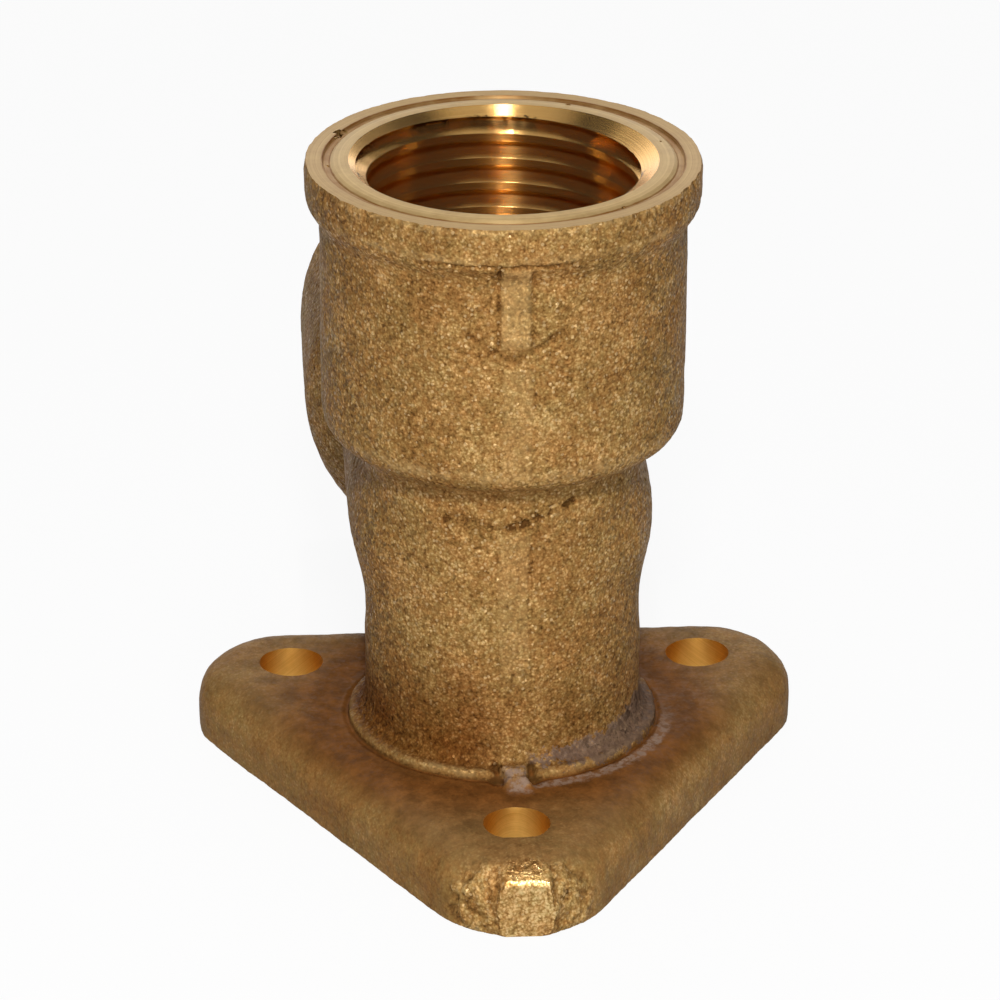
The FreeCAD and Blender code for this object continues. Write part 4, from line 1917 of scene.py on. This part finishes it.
@dataclass(frozen=True)
class Studio:
    """Pale floor, soft light and the camera."""

    floor_half: float = 6.0
    floor_gap: float = 0.02
    floor_colour: Colour = (0.86, 0.86, 0.86)
    floor_bounce: Colour = (0.17, 0.17, 0.17)
    floor_glow: float = 0.92
    world_strength: float = 0.03
    focal_pixels: float = 5121.1
    frame_pixels: float = 1000.0
    sensor: float = 36.0
    clip: Span = (0.01, 50.0)
    camera_place: tuple[float, float, float] = (-20.26, -323.77, 169.4)
    turn: float = -3.58
    yaw: float = -0.03
    pitch: float = 24.54
    roll: float = 0.21
    lamps: tuple[Lamp, ...] = (
        Lamp("key_lamp", azimuth=-3, elevation=40, distance=0.4, size=0.04, power=0.93),
        Lamp("front_lamp", azimuth=-1, elevation=5, distance=0.13, size=0.05, power=0.052),
        Lamp("ceiling_panel", azimuth=0, elevation=90, distance=1.1, size=0.9, power=1.6),
        Lamp("top_lamp", azimuth=-4, elevation=89, distance=0.9, size=0.035, power=1.1),
        Lamp("back_panel", azimuth=181, elevation=23, distance=1.5, size=1.45, power=10.5),
    )

    def floor_paper(self) -> Material:
        """Paper that shows white, keeps the shadow and throws little light back.

        Returns:
            The material.
        """
        sheet = NodeSheet("floor_paper")
        paper = sheet.node("ShaderNodeBsdfDiffuse")
        glow = sheet.node("ShaderNodeEmission")
        rays = sheet.node("ShaderNodeLightPath").outputs
        sheet.feed(paper.inputs["Color"], sheet.mix(rays["Is Diffuse Ray"], self.floor_colour, self.floor_bounce))
        seen = sheet.most(rays["Is Camera Ray"], rays["Is Glossy Ray"], rays["Is Transmission Ray"])
        blend = sheet.node("ShaderNodeMixShader")
        shown = (sheet.times(seen, self.floor_glow), paper.outputs[0], glow.outputs[0])
        for socket, value in zip(blend.inputs, shown):
            sheet.feed(socket, value)
        out = sheet.node("ShaderNodeOutputMaterial")
        sheet.feed(out.inputs["Surface"], blend.outputs[0])
        return sheet.material

    def lay_floor(self) -> None:
        """Lays the floor just under the elbow."""
        body = bmesh.new()
        bmesh.ops.create_grid(body, x_segments=4, y_segments=4, size=self.floor_half)
        bmesh.ops.translate(body, vec=UP * -self.floor_gap * MM, verts=body.verts)
        mesh = bpy.data.meshes.new("studio_floor")
        body.to_mesh(mesh)
        body.free()
        made = bpy.data.objects.new("studio_floor", mesh)
        bpy.context.scene.collection.objects.link(made)
        mesh.materials.append(self.floor_paper())

    def fill_air(self) -> None:
        """Even light from all round."""
        world = bpy.data.worlds.new("studio_air")
        world.use_nodes = True
        background = world.node_tree.nodes["Background"]
        background.inputs["Color"].default_value = (1.0, 1.0, 1.0, 1.0)
        background.inputs["Strength"].default_value = self.world_strength
        bpy.context.scene.world = world

    def place_camera(self) -> None:
        """Camera at the photograph's place."""
        data = bpy.data.cameras.new("studio_camera")
        data.sensor_width = self.sensor
        data.lens = self.focal_pixels * self.sensor / self.frame_pixels
        data.clip_start, data.clip_end = self.clip
        made = bpy.data.objects.new("studio_camera", data)
        about = Matrix.Rotation(math.radians(self.turn - self.yaw), 3, "Z")
        tilt, lean = math.radians(self.pitch), math.radians(self.roll)
        forward = about @ Vector((0, math.cos(tilt), -math.sin(tilt)))
        level = about @ Vector((1, 0, 0))
        upright = level.cross(forward)
        right = level * math.cos(lean) + upright * math.sin(lean)
        above = upright * math.cos(lean) - level * math.sin(lean)
        turned = Matrix((right, above, -forward)).transposed().to_4x4()
        made.matrix_world = Matrix.Translation(Vector(self.camera_place) * MM) @ turned
        bpy.context.scene.collection.objects.link(made)
        bpy.context.scene.camera = made

    def set_up(self) -> None:
        """Floor, light and camera, with colours shown as they are written."""
        bpy.context.scene.view_settings.view_transform = "Standard"
        self.lay_floor()
        self.fill_air()
        for lamp in self.lamps:
            lamp.hang()
        self.place_camera()


def main() -> None:
    """Builds and dresses the elbow, then sets up the studio."""
    logging.basicConfig(level=logging.INFO, format="%(name)s: %(message)s")
    elbow = ElbowCasting()
    casting = elbow.build()
    elbow.dress(casting, elbow_finishes())
    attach(casting, "root")
    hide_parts("elbow_casting")
    log.info("%s dressed with %d finishes", casting.name, len(casting.data.materials))
    Studio().set_up()


if __name__ == "__main__":
    main()
